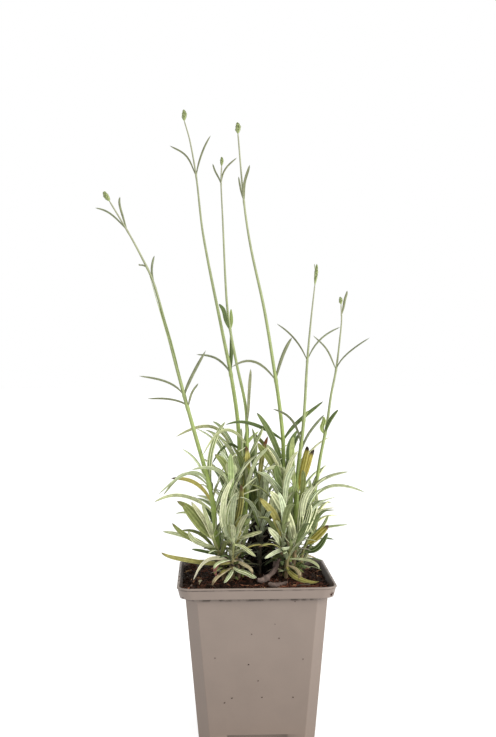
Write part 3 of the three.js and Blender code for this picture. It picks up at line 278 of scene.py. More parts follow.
# Each stem's leaves with an outline of their own, as (height, middle x, middle z, tip x, tip z, depth of the
# tip, width, turn, tone).
LEAVES: dict[str, tuple[Leaf, ...]] = {
    "stalk_a": (
        (292, -82.5, 302, -92.5, 306, -6, 1.8, 10, SLATE), (293, -77.5, 305, -78, 312.5, 5, 2, 40, SLATE),
        (271, -65.6, 272.4, -67, 273, -1, 1.4, 0, SLATE), (259.5, -59.4, 269.5, -58, 278, 4, 2, 30, SLATE),
        (195, -50.5, 203.5, -67.5, 207, -9, 2.2, 15, SLATE), (195, -37, 206, -28, 222, 9, 2.8, 35, SLATE),
        (188, -45.5, 193, -63, 193.5, 8, 2.2, 15, SLATE),
        (188, -36.5, 196.5, -32.5, 202.5, -6, 2.4, 30, SLATE), (132, -25.6, 160, -16.5, 180, 7, 3, 60, GREY),
        (142.5, -37.5, 150, -56.5, 137, -7, 2.6, 20, GREY), (141, -40, 149, -53.5, 136.5, 8, 2.4, 20, GREY),
        (130.5, -34, 143.5, -49, 146.5, 5, 3, 35, AUTUMN),
        (125.5, -40.5, 136.5, -59, 132.5, -3, 2.8, 25, GREY),
        (128.5, -28.5, 133, -34, 134.5, 9, 2.4, 20, GREY), (146.5, -29, 149, -30.5, 152, 3, 1.8, 30, GREEN),
    ),
    "stalk_b": (
        (324.5, -39.5, 336.5, -48.5, 342.5, -7, 1.8, 10, SLATE),
        (324.5, -30, 338, -24.5, 348.5, 7, 1.8, 20, SLATE), (208, -21, 217, -33.5, 219.5, -8, 2.4, 15, SLATE),
        (208, -13, 221, -13, 233, 8, 2.4, 50, DARK), (163, -16.5, 166, -24.5, 155, -9, 2.4, 15, DARK),
        (151, -16.5, 168, -28.5, 175, 8, 2.6, 15, GREY), (157, -16.5, 173.5, -24, 180, 12, 2.6, 20, GREY),
        (135, -5, 152, -4, 167, -6, 3, 70, AUTUMN),
    ),
    "stalk_c": (
        (320, -21, 326.5, -23.5, 332, -4, 1.6, 10, SLATE), (320, -15.5, 329.5, -9, 335.5, 4, 1.6, 10, SLATE),
        (234, -17, 243.5, -20, 249.5, -4, 2.6, 30, DARK), (234, -12.8, 240.5, -13, 246.5, 4, 2, 20, GREEN),
        (178, -2.5, 195.5, -1.5, 211, -5, 2.8, 50, SLATE), (166, -17.5, 175, -30, 160, -8, 2.4, 15, GREY),
        (158, 2, 169, 5.5, 176, -4, 2.6, 30, GREY),
    ),
    "stalk_d": (
        (309.5, -4.3, 321, -1.5, 331.5, -4, 2.4, 40, SLATE),
        (309.5, -6.8, 317.5, -8.2, 324.5, 4, 1.8, 20, SLATE),
        (204, 0.5, 215.5, -12.5, 212, -9, 2.6, 15, SLATE), (204.5, 17, 217.5, 23, 229.5, 7, 3.2, 45, SLATE),
        (168.5, -0.5, 179, -16.5, 178, -10, 3, 15, DARK), (168.5, 27.5, 180.5, 41.5, 191.5, 9, 2.6, 15, DARK),
        (149, 11.5, 169.5, 2, 185, -7, 3.4, 45, DARK), (144, 9.5, 161.5, 0.5, 172.5, 8, 3, 30, OLIVE),
        (139, 8.5, 157.5, 2.5, 167, -9, 4, 60, OLIVE),
    ),
    "stalk_e": (
        (215.5, 24.5, 229, 14, 237.5, -7, 1.7, 10, SLATE), (215.5, 39.5, 228, 52, 235.5, 7, 1.8, 10, SLATE),
        (165.5, 23, 180.5, 11.5, 187, -8, 2.4, 15, SLATE), (159.5, 33.5, 173.5, 42, 183.5, 7, 2.6, 20, SLATE),
        (180.5, 31, 183.5, 32.3, 186, 2, 1.5, 20, GREEN), (138, 30, 155, 32, 165, -6, 3.4, 65, YELLOW),
        (137, 31.5, 152.5, 36, 163, 5, 3.4, 60, YELLOW), (141, 21.5, 160, 26, 174.5, -8, 3.6, 65, DARK),
        (135, 22.6, 157, 23.6, 170.5, -11, 3.2, 60, GREEN),
    ),
    "stalk_f": (
        (243, 54.6, 251, 56, 257, 5, 2.4, 20, SLATE), (210, 44, 221.5, 35.5, 230.5, 7, 2, 15, SLATE),
        (210, 56.5, 220.5, 69.5, 229, -7, 1.7, 10, SLATE), (172, 45, 180, 50.5, 186.5, -5, 3, 35, DARK),
        (172, 41, 178, 42, 182.5, 5, 3, 50, GREEN), (133, 40, 145, 56.5, 149.5, -5, 2.8, 20, ASH),
        (130, 46, 141.5, 66.5, 137, 8, 2.4, 15, ASH), (133, 33.4, 139.5, 33.5, 145, -8, 2.4, 40, GREY),
    ),
    "shoot_left": (
        (112, -33, 123, -45.5, 133, -6, 4.4, 65, OLIVE),
        (110.5, -34.5, 121, -42.5, 131.5, -10, 4.6, 75, OLIVE),
        (113, -30, 122, -37, 132.5, -2, 3.8, 60, PALE), (106.5, -33.5, 123.5, -46.5, 125.5, 8, 2.6, 15, GREY),
        (102, -36, 110, -48.5, 120, -8, 3.2, 40, OLIVE), (102.5, -38, 111.5, -54, 115, 3, 3, 25, GREY),
        (105, -33, 109, -39, 115, -14, 3, 35, GREY), (101, -28.5, 103, -37, 104.5, -7, 2.4, 10, DARK),
    ),
    "shoot_front_left": (
        (96.2, -38, 97.4, -55, 102.6, -6, 3.4, 35, FADED), (97, -27.5, 98, -36, 86, -12, 3, 25, CREAM),
        (93.5, -20.5, 89.5, -25, 82.5, -17, 2.8, 30, STRAW), (92.5, -14.5, 89, -18, 84, -16, 2.6, 30, PALE),
        (94, -5.5, 89.5, 1.5, 87, -10, 3, 25, PALE), (98, -20, 97, -24, 92.5, -9, 2.6, 20, PALE),
        (97.5, -4, 94.5, -1, 88.5, -5, 2.6, 20, STRAW), (107, -5, 104.5, 1, 99.5, -6, 2.6, 25, PALE),
    ),
    "shoot_mid_left": (
        (106.5, -19, 125.5, -12, 146.5, -8, 3.8, 75, PALE),
        (106.5, -15.5, 123.5, -9.5, 138, -11, 3.6, 80, PALE),
        (105, -9.5, 113.5, -8.5, 122.5, -7, 3.2, 70, FADED),
        (109.5, -19, 121.5, -15.6, 137, -5, 3.4, 60, GREY), (143, -16.5, 153.5, -23, 160.5, -4, 4, 55, OLIVE),
        (145.5, -14.5, 154.5, -20, 162.5, 4, 3.2, 40, PALE), (142, -23, 152, -36.5, 151.5, -5, 2.6, 15, GREY),
        (109, -3, 112.5, 5, 114.5, -5, 2.8, 20, PALE),
    ),
    "shoot_back_left": ((151, -21.5, 176, -46, 171, 5, 2.8, 15, GREY),),
    "shoot_middle": (
        (139, 4.5, 156, 8.5, 171, -4, 3, 65, RUSSET), (141, 0, 154.5, -0.5, 164, 3, 2.4, 50, DARK),
        (115.5, 1.5, 124.5, -1, 133, -6, 3, 70, OLIVE), (115.5, 9, 126, 11, 137, -8, 3.6, 60, OLIVE),
        (121.5, 7, 136, 6, 150, -6, 3.2, 60, GREY), (118.5, 11, 127, 18, 130, -4, 3, 30, OLIVE),
    ),
    "shoot_right_inner": (
        (146, 15.5, 152.5, 6.5, 151, -6, 3, 25, GREY), (139, 15, 146, 13.5, 154, -5, 4.6, 80, DARK),
        (138, 10.5, 145, 5, 150, -7, 3, 35, GREY), (109, 13, 122.5, 10.5, 136, -7, 4, 75, GREY),
        (110, 18, 124, 14.5, 138, -11, 3.8, 75, STRIPED), (105, 13.5, 110.5, 8.5, 117, -8, 3.8, 60, PALE),
    ),
    "shoot_right_fan": (
        (111, 28, 125, 30, 138, -9, 3.8, 75, STRIPED), (108, 34, 121, 37.5, 137, -4, 3.8, 65, STRIPED),
        (109, 32, 120, 33.5, 131, -13, 3.2, 70, STRIPED), (124, 35, 130, 40, 132.5, -4, 2.4, 15, GREY),
        (131, 29.5, 137, 29.5, 142, 5, 2.4, 40, GREY),
    ),
    "shoot_right_low": (
        (113, 40.5, 117.5, 44.5, 124, 4, 2.2, 20, GREY), (110, 43, 116.5, 56, 118, -5, 2.2, 10, GREY),
        (109, 35.5, 115, 38, 122.5, 5, 2.6, 50, AUTUMN), (107, 37, 111, 44.5, 117.8, -7, 4.6, 75, AUTUMN),
        (102.5, 37, 104.4, 44, 113.4, -9, 3.6, 70, DARK),
    ),
    "shoot_front_right": (
        (105, 13.5, 102.5, 6, 98.5, -7, 3.2, 30, PALE), (95, 25.5, 86.2, 38.8, 84.2, -10, 3.4, 30, FADED),
        (94, 25.5, 92, 26.5, 86, -14, 2.4, 20, STRAW), (98, 33, 97, 39, 92, -4, 2.2, 15, ASH),
    ),
}

# More of them, which only this file has.
MORE_LEAVES: dict[str, tuple[Leaf, ...]] = {
    "stalk_b": ((135, -4, 151, -4.5, 165.4, -16, 3.8, 72, AUTUMN), (148, -8, 163, -7.2, 176, 6, 3, 60, ASH)),
    "stalk_c": ((150, -3.8, 166, -3.6, 178.5, 5, 3, 60, DARK), (140, 1, 160, -0.9, 176, 8, 2.2, 45, GREY)),
    "shoot_left": (
        (108, -29.4, 120.5, -36.4, 132, -13, 3, 62, ASH), (110, -27.2, 121, -30.8, 131, -14, 2.4, 60, GREY),
    ),
    "shoot_mid_left": ((110, -8.8, 126, -7.6, 142.8, -8, 3.6, 70, BRONZE),),
    "shoot_right_fan": ((106, 18.5, 126, 9.6, 138.5, -9, 5, 62, STRIPED),),
    "shoot_right_inner": ((108, 11.4, 123.6, 3.7, 134.4, -10, 4.2, 55, FADED),),
    "shoot_back": (
        (112, -0.5, 126, -3.5, 139.5, -4, 4.2, 60, DARK), (108, 0.5, 120, -2.5, 133.5, -7, 4, 60, OLIVE),
        (106, 1.5, 114, 0.5, 125, -9, 3.6, 60, DARK), (118, 0.5, 130, -0.8, 146, -2, 4.6, 60, OLIVE),
    ),
    "shoot_back_right": (
        (98, 15.5, 102.2, 8.5, 99.2, -11, 3.4, 45, DARK), (97, 15.8, 100.2, 9.5, 97, -12, 3.4, 45, OLIVE),
        (104, 15.5, 103.5, 10, 99.5, -5, 3.2, 45, DARK), (107, 16.5, 108.5, 10.5, 103.5, -6, 3, 45, DARK),
        (112, 17, 113, 10, 108.5, -6, 3, 45, DARK),
    ),
    "woody_heart": (
        (102, 8.5, 104.5, 14.6, 101, -4, 3.2, 50, DEAD), (106, 8.5, 109.5, 13.6, 107, -3, 2.8, 50, DEAD),
    ),
    "shoot_front_left": ((97, -22.6, 95.5, -22.1, 87.7, -8, 2.6, 60, ROSE),),
}


def mix(a: Array | float, b: Array | float, share: Array | float) -> Array | float:
    """Goes from a to b in a straight line as share goes from 0 to 1."""
    return a + (b - a) * share


def smooth(share: Array | float) -> Array | float:
    """Rises from 0 to 1 along 3s^2 - 2s^3, flat at both ends, with share held between 0 and 1."""
    held = np.clip(share, 0, 1)
    return held * held * (3 - 2 * held)


def unit(vectors: Array) -> Array:
    """Vectors along the last axis, each scaled to length 1."""
    return vectors / np.maximum(np.linalg.norm(vectors, axis=-1, keepdims=True), 1e-9)


def turned(vectors: Array, axes: Array, angles: Array) -> Array:
    """Turns each vector about its unit axis: v cos a + (k x v) sin a + k (k . v)(1 - cos a).

    Args:
        vectors: Points with x, y and z in the last axis.
        axes: The unit axes, of the same shape.
        angles: Radians, without the last axis.

    Returns:
        The turned vectors.
    """
    cos, sin = np.cos(angles)[..., None], np.sin(angles)[..., None]
    lean = (axes * vectors).sum(-1, keepdims=True)
    return vectors * cos + np.cross(axes, vectors) * sin + axes * lean * (1 - cos)


def even(count: int) -> Array:
    """Even steps from 0 to 1."""
    return np.linspace(0, 1, count)


def level_way(azimuth: Array | float) -> Array:
    """Level unit vectors in some directions."""
    return np.stack([np.cos(azimuth), np.sin(azimuth), 0 * azimuth], -1)


def four_times(quarter: Array) -> Array:
    """A quarter of an outline, followed by its copies turned by one, two and three quarter turns."""
    turn = np.array([[0, 1], [-1, 0]])
    return np.concatenate([quarter @ np.linalg.matrix_power(turn, count) for count in range(4)])


class Draws:
    """A repeatable stream of numbers from 0 to 1, made by mixing the bits of a 32-bit counter."""

    MASK = 0xFFFFFFFF
    STRIDE = 0x6D2B79F5

    def __init__(self, seed: int) -> None:
        """Starts the stream at a seed."""
        self.state = seed

    def __call__(self) -> float:
        """The next number."""
        self.state = (self.state + self.STRIDE) & self.MASK
        bits = ((self.state ^ (self.state >> 15)) * (1 | self.state)) & self.MASK
        bits = ((bits + (((bits ^ (bits >> 7)) * (61 | bits)) & self.MASK)) & self.MASK) ^ bits
        return ((bits ^ (bits >> 14)) & self.MASK) / (self.MASK + 1)


def lattice_noise(points: Array, size: float, seed: int) -> Array:
    """Smooth noise from -1 to 1: random values on a cube lattice, eased from corner to corner.

    Args:
        points: Places in mm, with x, y and z in the last axis.
        size: The lattice's spacing in mm.
        seed: Picks the pattern.

    Returns:
        One value for each point.
    """
    cells = 32
    table = np.random.default_rng(seed).uniform(-1, 1, (cells, cells, cells))
    scaled = points / size
    low = np.floor(scaled).astype(int)
    part = smooth(scaled - low)
    total = np.zeros(points.shape[:-1])
    for corner in range(8):
        step = np.array([corner & 1, (corner >> 1) & 1, corner >> 2])
        weight = np.where(step, part, 1 - part).prod(-1)
        at = (low + step) % cells
        total += weight * table[at[..., 0], at[..., 1], at[..., 2]]
    return total


class Surface:
    """Grids of points, each closed round its section and capped at its ends, joined in one mesh."""

    def __init__(self) -> None:
        """Starts with nothing."""
        self.points: list[Array] = []
        self.polygons: list[Array] = []
        self.uvs: list[Array] = []
        self.colours: dict[str, list[Array]] = {"tint": [], "margin": [], "tip": []}
        self.count = 0

    def add(
        self,
        grid: Array,
        tint: Array | Color,
        margin: Array | Color | None = None,
        tip: Array | Color | None = None,
        round_uv: Array | None = None,
        along_uv: Array | None = None,
    ) -> "Surface":
        """Adds tubes with quads between their rings: (s, k) joins (s, k + 1), (s + 1, k + 1) and (s + 1, k).

        Args:
            grid: Points in mm, as tubes x rings x points round x 3, running right-handed round the tube.
            tint: Linear colours that spread to the points.
            margin: The margins' colours, if they aren't the tint.
            tip: The tips' colours, if they aren't the tint.
            round_uv: The first UV value at each point round, and again at the first point, if it isn't even.
            along_uv: The second UV value at each ring, if it isn't even.

        Returns:
            The surface itself.
        """
        tubes, rings, around, _ = grid.shape
        k = np.arange(around)
        following = (k + 1) % around
        low = np.arange(rings - 1)[:, None] * around
        high = low + around
        quads = np.stack([low + k, low + following, high + following, high + k], -1).reshape(-1, 4)
        starts = self.count + np.arange(tubes)[:, None] * rings * around
        self.polygons.append((quads + starts[..., None]).reshape(-1, 4))
        u = even(around + 1) if round_uv is None else round_uv
        v = even(rings) if along_uv is None else along_uv
        uv = np.stack(np.broadcast_arrays(u, v[:, None]), -1)
        quad_uv = np.stack([uv[:-1, :-1], uv[:-1, 1:], uv[1:, 1:], uv[1:, :-1]], -2).reshape(-1, 2)
        self.uvs.append(np.tile(quad_uv, (tubes, 1)))
        for ring, order in ((0, k[::-1]), (rings - 1, k)):
            self.polygons.append(starts + ring * around + order)
            self.uvs.append(np.tile(uv[ring, order], (tubes, 1)))
        self.points.append(grid.reshape(-1, 3))
        for store, colour in zip(self.colours.values(), (tint, margin, tip)):
            used = tint if colour is None else colour
            store.append(np.broadcast_to(used, (tubes, rings, around, 4)).reshape(-1, 4))
        self.count += tubes * rings * around
        return self

    def build(self, name: str, material: Material) -> Piece:
        """Makes the mesh object, in metres, with its UV map and its tint, margin and tip colours.

        Args:
            name: The piece's name.
            material: Its finish.

        Returns:
            The object, at the origin.
        """
        points = np.concatenate(self.points) * MM
        loops = np.concatenate([group.ravel() for group in self.polygons])
        sizes = np.concatenate([np.full(len(group), group.shape[1]) for group in self.polygons])
        mesh = bpy.data.meshes.new(name)
        mesh.vertices.add(len(points))
        mesh.vertices.foreach_set("co", points.astype(np.float32).ravel())
        mesh.loops.add(len(loops))
        mesh.loops.foreach_set("vertex_index", loops.astype(np.int32))
        mesh.polygons.add(len(sizes))
        mesh.polygons.foreach_set("loop_start", (np.cumsum(sizes) - sizes).astype(np.int32))
        mesh.update(calc_edges=True)
        uvs = np.concatenate(self.uvs).astype(np.float32).ravel()
        mesh.uv_layers.new(name="UVMap").data.foreach_set("uv", uvs)
        for label, colours in self.colours.items():
            layer = mesh.attributes.new(label, "FLOAT_COLOR", "POINT")
            layer.data.foreach_set("color", np.concatenate(colours).astype(np.float32).ravel())
        mesh.shade_smooth()
        mesh.materials.append(material)
        piece = bpy.data.objects.new(name, mesh)
        bpy.context.scene.collection.objects.link(piece)
        return piece


def settle(piece: Piece, slot: str, *nodes: str) -> None:
    """Rides a piece on the part's one body and lets it stand for its nodes."""
    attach(piece, "root")
    if nodes:
        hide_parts(*nodes)
    LOG.info("%s: %d faces", piece.name, len(piece.data.polygons))


@dataclass(frozen=True)
class PotSizes:
    """The nursery pot's sizes in mm."""

    height: float = 90
    rim_half: float = 45
    rim_corner: float = 8
    band_height: float = 6.5
    band_foot_half: float = 43.4
    lip_height: float = 1.2
    lip_out: float = 0.5
    wall: float = 1.4
    shelf: float = 0.7
    body_top_half: float = 40.3
    body_foot_half: float = 33.1
    chamfer: float = 6.4
    inner_chamfer: float = 5.8
    inner_corner: float = 7
    floor: float = 1.6
    notch_width: float = 34
    notch_depth: float = 5
    notch_height: float = 4.5
    drain_radius: float = 2.6
    drain_reach: float = 17
    edge: float = 0.5

    def body_half(self, z: float) -> float:
        """Half width of the body's outer face at a height."""
        return mix(self.body_foot_half, self.body_top_half, z / (self.height - self.band_height))


POT = PotSizes()


@dataclass(frozen=True)
class SoilSizes:
    """The compost's surface: its level, the mound round the stems and its crumbs, in mm."""

    level: float = 85.5
    mound: float = 2.4
    mound_at: Pair = (3, 4)
    mound_reach: float = 18
    crumb: float = 0.4
    hole_floor: float = 76
    gap: float = 0.3

    def height(self, x: Array | float, y: Array | float) -> Array | float:
        """Level, plus a bell-shaped mound, plus crumbs from two crossed waves and one slanting wave."""
        off = (x - self.mound_at[0]) ** 2 + (y - self.mound_at[1]) ** 2
        bell = self.mound * np.exp(-off / (2 * self.mound_reach**2))
        crumbs = np.sin(x * 0.83 + 1.3) * np.sin(y * 0.77 + 0.4) + 0.7 * np.sin(x * 0.41 - y * 0.53)
        return self.level + bell + self.crumb * crumbs


SOIL = SoilSizes()


@dataclass
class Blades:
    """Many leaf blades at once: root, middle and tip points, widths, turns in degrees and tones."""

    root: Array
    over: Array
    tip: Array
    width: Array
    turn: Array
    tones: list[Tone]

    @property
    def arrays(self) -> tuple[Array, ...]:
        """Everything but the tones."""
        return self.root, self.over, self.tip, self.width, self.turn

    @staticmethod
    def joined(groups: list["Blades"]) -> "Blades":
        """All the groups' blades, in their order."""
        arrays = map(np.concatenate, zip(*(group.arrays for group in groups)))
        return Blades(*arrays, [tone for group in groups for tone in group.tones])

    @staticmethod
    def one(root: Array, over: Array, tip: Array, width: float, turn: float, tone: Tone) -> "Blades":
        """A single blade."""
        return Blades(root[None], over[None], tip[None], np.array([width]), np.array([turn]), [tone])

    def chosen(self, mask: Array) -> "Blades":
        """The blades for which a mask is true."""
        tones = [tone for tone, is_chosen in zip(self.tones, mask) if is_chosen]
        return Blades(*(values[mask] for values in self.arrays), tones)

    def axes(self, share: Array) -> tuple[Array, Array]:
        """The direction along each blade and the level one across it, as blades x places x 3."""
        step = 0.03
        least = 0.5
        along = unit(self.centre(share + step) - self.centre(share - step))
        flat = (self.tip - self.root) * np.array([1, 1, 0])
        is_steep = np.linalg.norm(flat, axis=-1, keepdims=True) < least
        flat = unit(np.where(is_steep, EAST, flat))
        level = np.stack([-flat[:, 1], flat[:, 0], 0 * flat[:, 0]], -1)[:, None] + 0 * along
        return along, unit(level - along * (level * along).sum(-1, keepdims=True))

    def face(self, eye: Array, most: float) -> None:
        """Turns a single blade most of the way from its own turn to lying square to a line of sight."""
        broadest = np.array([0.55])
        along, level = (directions[0, 0] for directions in self.axes(broadest))
        across = np.cross(self.over[0] - eye, along)
        square = math.degrees(math.atan2(np.cross(level, across) @ along, level @ across))
        self.turn = self.turn + most * ((square - self.turn + 90) % 180 - 90)

    @property
    def length(self) -> Array:
        """Each blade's length along its two halves."""
        first = np.linalg.norm(self.over - self.root, axis=-1)
        return first + np.linalg.norm(self.tip - self.over, axis=-1)

    def centre(self, share: Array) -> Array:
        """Points of the centre lines, as blades x places x 3.

        Each is a curve of the second degree through root, over (half-way) and tip.
        """
        s = share[None, :, None]
        bend = (2 * self.over - 0.5 * (self.root + self.tip))[:, None]
        return (1 - s) ** 2 * self.root[:, None] + 2 * s * (1 - s) * bend + s**2 * self.tip[:, None]


Rods = tuple[Array, Array, Array]
Stations = tuple[Pair, ...]


@dataclass(frozen=True)
class FoliageRule:
    """The rule that places every blade, the same as the frame's.

    short, middle and long hold the places along a blade of that length, with its width there as a share.
    """

    sight: Triple = (-28.7, -675.2, 222.1)
    short: Stations = ((0, 0.3), (0.3, 0.9), (0.72, 0.9), (1, 0.2))
    middle: Stations = ((0, 0.3), (0.2, 0.8), (0.52, 1), (0.82, 0.8), (1, 0.2))
    long: Stations = ((0, 0.3), (0.16, 0.75), (0.4, 1), (0.64, 1), (0.86, 0.72), (1, 0.2))
    short_blade: float = 20
    long_blade: float = 40
    blade_round: float = 0.82
    blade_clear: float = 0.65
    soil_clear: float = 1.15
    rim_clear: float = 1.65
    rim_reach: float = 4
    swings: tuple[int, ...] = (0, 1, -1, 2, -2, 3, -3, 4, -4, 5, -5, 6, -6)
    swing_step: float = 4
    turn_step: float = 14
    seed: int = 7
    over_depth: float = 0.42
    lift_share: float = 0.24
    hollow_share: float = 0.1
    low_lean: float = 12
    high_lean: float = -10
    azimuth_spread: float = 0.5
    height_spread: float = 2
    lean_spread: float = 12
    turn_spread: float = 30
    smallest: float = 0.85
    size_range: float = 0.3
    stem_step: float = 17
    root_below_end: float = 1
    foot_above_soil: float = 1
    broad_turn: float = 40
    facing: float = 0.85
    narrow_facing: float = 0.45

    def seen(self, x: float, z: float, y: float) -> Array:
        """Moves an outline point along its line of sight to the depth y."""
        share = (y - self.sight[1]) / -self.sight[1]
        return np.array([mix(self.sight[0], x, share), y, mix(self.sight[2], z, share)])

    def outlined(self, points: Array) -> Array:
        """Points carried along their lines of sight into the outline plane, y = 0."""
        eye = np.array(self.sight)
        way = points - eye
        return eye - way * (eye[1] / way[..., 1])[..., None]

    def rods(self, blade: Blades) -> Rods:
        """One blade as straight rods, each as thick as the mean of the blade's width at its ends."""
        length = blade.length[0]
        stations = self.middle
        if length < self.short_blade:
            stations = self.short
        if length > self.long_blade:
            stations = self.long
        places, wide = np.array(stations).T
        points = blade.centre(places)[0]
        radius = 0.25 * self.blade_round * blade.width[0] * (wide[:-1] + wide[1:])
        return points[:-1], points[1:], radius


RULE = FoliageRule()


class StemLine:
    """A stem's centre line: cubics between its knots, upright up to its foot."""

    def __init__(self, plan: StemPlan) -> None:
        """Works out the knots (buried end, foot, then the path) and the slopes at them."""
        x, y = plan.foot
        end = [x, y, SOIL.hole_floor + SOIL.gap]
        foot = [x, y, SOIL.height(x, y) + RULE.foot_above_soil]
        self.plan = plan
        self.knots = np.array([end, foot, *(RULE.seen(*point) for point in plan.path)])
        rise = np.concatenate([self.knots[3:], self.knots[-1:]]) - self.knots[1:-1]
        self.slopes = np.concatenate([np.zeros((2, 3)), rise / rise[:, 2:]])

    @property
    def top(self) -> float:
        """Height of the stem's upper end."""
        return self.knots[-1][2]

    @property
    def foot(self) -> float:
        """Height where the stem leaves the compost."""
        return self.knots[1][2]

    def at(self, z: Array | float) -> Array:
        """The centre at some heights in mm, with x, y and z in the last axis."""
        z = np.asarray(z, float)
        i = np.searchsorted(self.knots[1:-1, 2], z, side="left")
        low, high = self.knots[i], self.knots[i + 1]
        rise = (high - low)[..., 2:]
        t = np.clip((z[..., None] - low[..., 2:]) / rise, 0, 1)
        point = (2 * t**3 - 3 * t**2 + 1) * low + (3 * t**2 - 2 * t**3) * high
        point += (t**3 - 2 * t**2 + t) * rise * self.slopes[i] + (t**3 - t**2) * rise * self.slopes[i + 1]
        point[..., 2] = z
        return point

    def half(self, z: Array | float) -> Array | float:
        """Half width at some heights, from the foot's to the top's."""
        return mix(*self.plan.thick, np.maximum(0, (z - self.foot) / (self.top - self.foot)))

    def root(self, z: float) -> Array:
        """Where a blade at a height is rooted, below the stem's end at the highest."""
        return self.at(min(z, self.top - RULE.root_below_end))

    def rods(self) -> Rods:
        """The stem as straight rods."""
        count = math.ceil((self.top - self.foot) / RULE.stem_step) + 1
        heights = np.append(self.knots[0, 2], mix(self.foot, self.top, np.arange(count) / (count - 1)))
        points = self.at(heights)
        return points[:-1], points[1:], mix(*self.plan.thick, np.arange(count) / count)


@dataclass(frozen=True)
class HeartSizes:
    """The knotty old wood between the clumps, in mm."""

    low: float = 88.6
    high: float = 112
    wide: float = 8
    deep: float = 4.6
    rods: tuple[float, ...] = (-4, 0, 4)


HEART = HeartSizes()


@dataclass(frozen=True)
class BareStalks:
    """The stalks that show in front of the tuft, up to their tops, and how near a blade may pass."""

    tops: dict[str, float]
    foot: float = 104
    gap: float = 1.9
    depth: float = 0.8
    stalk_places: int = 40
    blade_places: int = 20
    blade_start: float = 0.05
    most: int = 3


BARE = BareStalks({"stalk_a": 152, "stalk_e": 174})


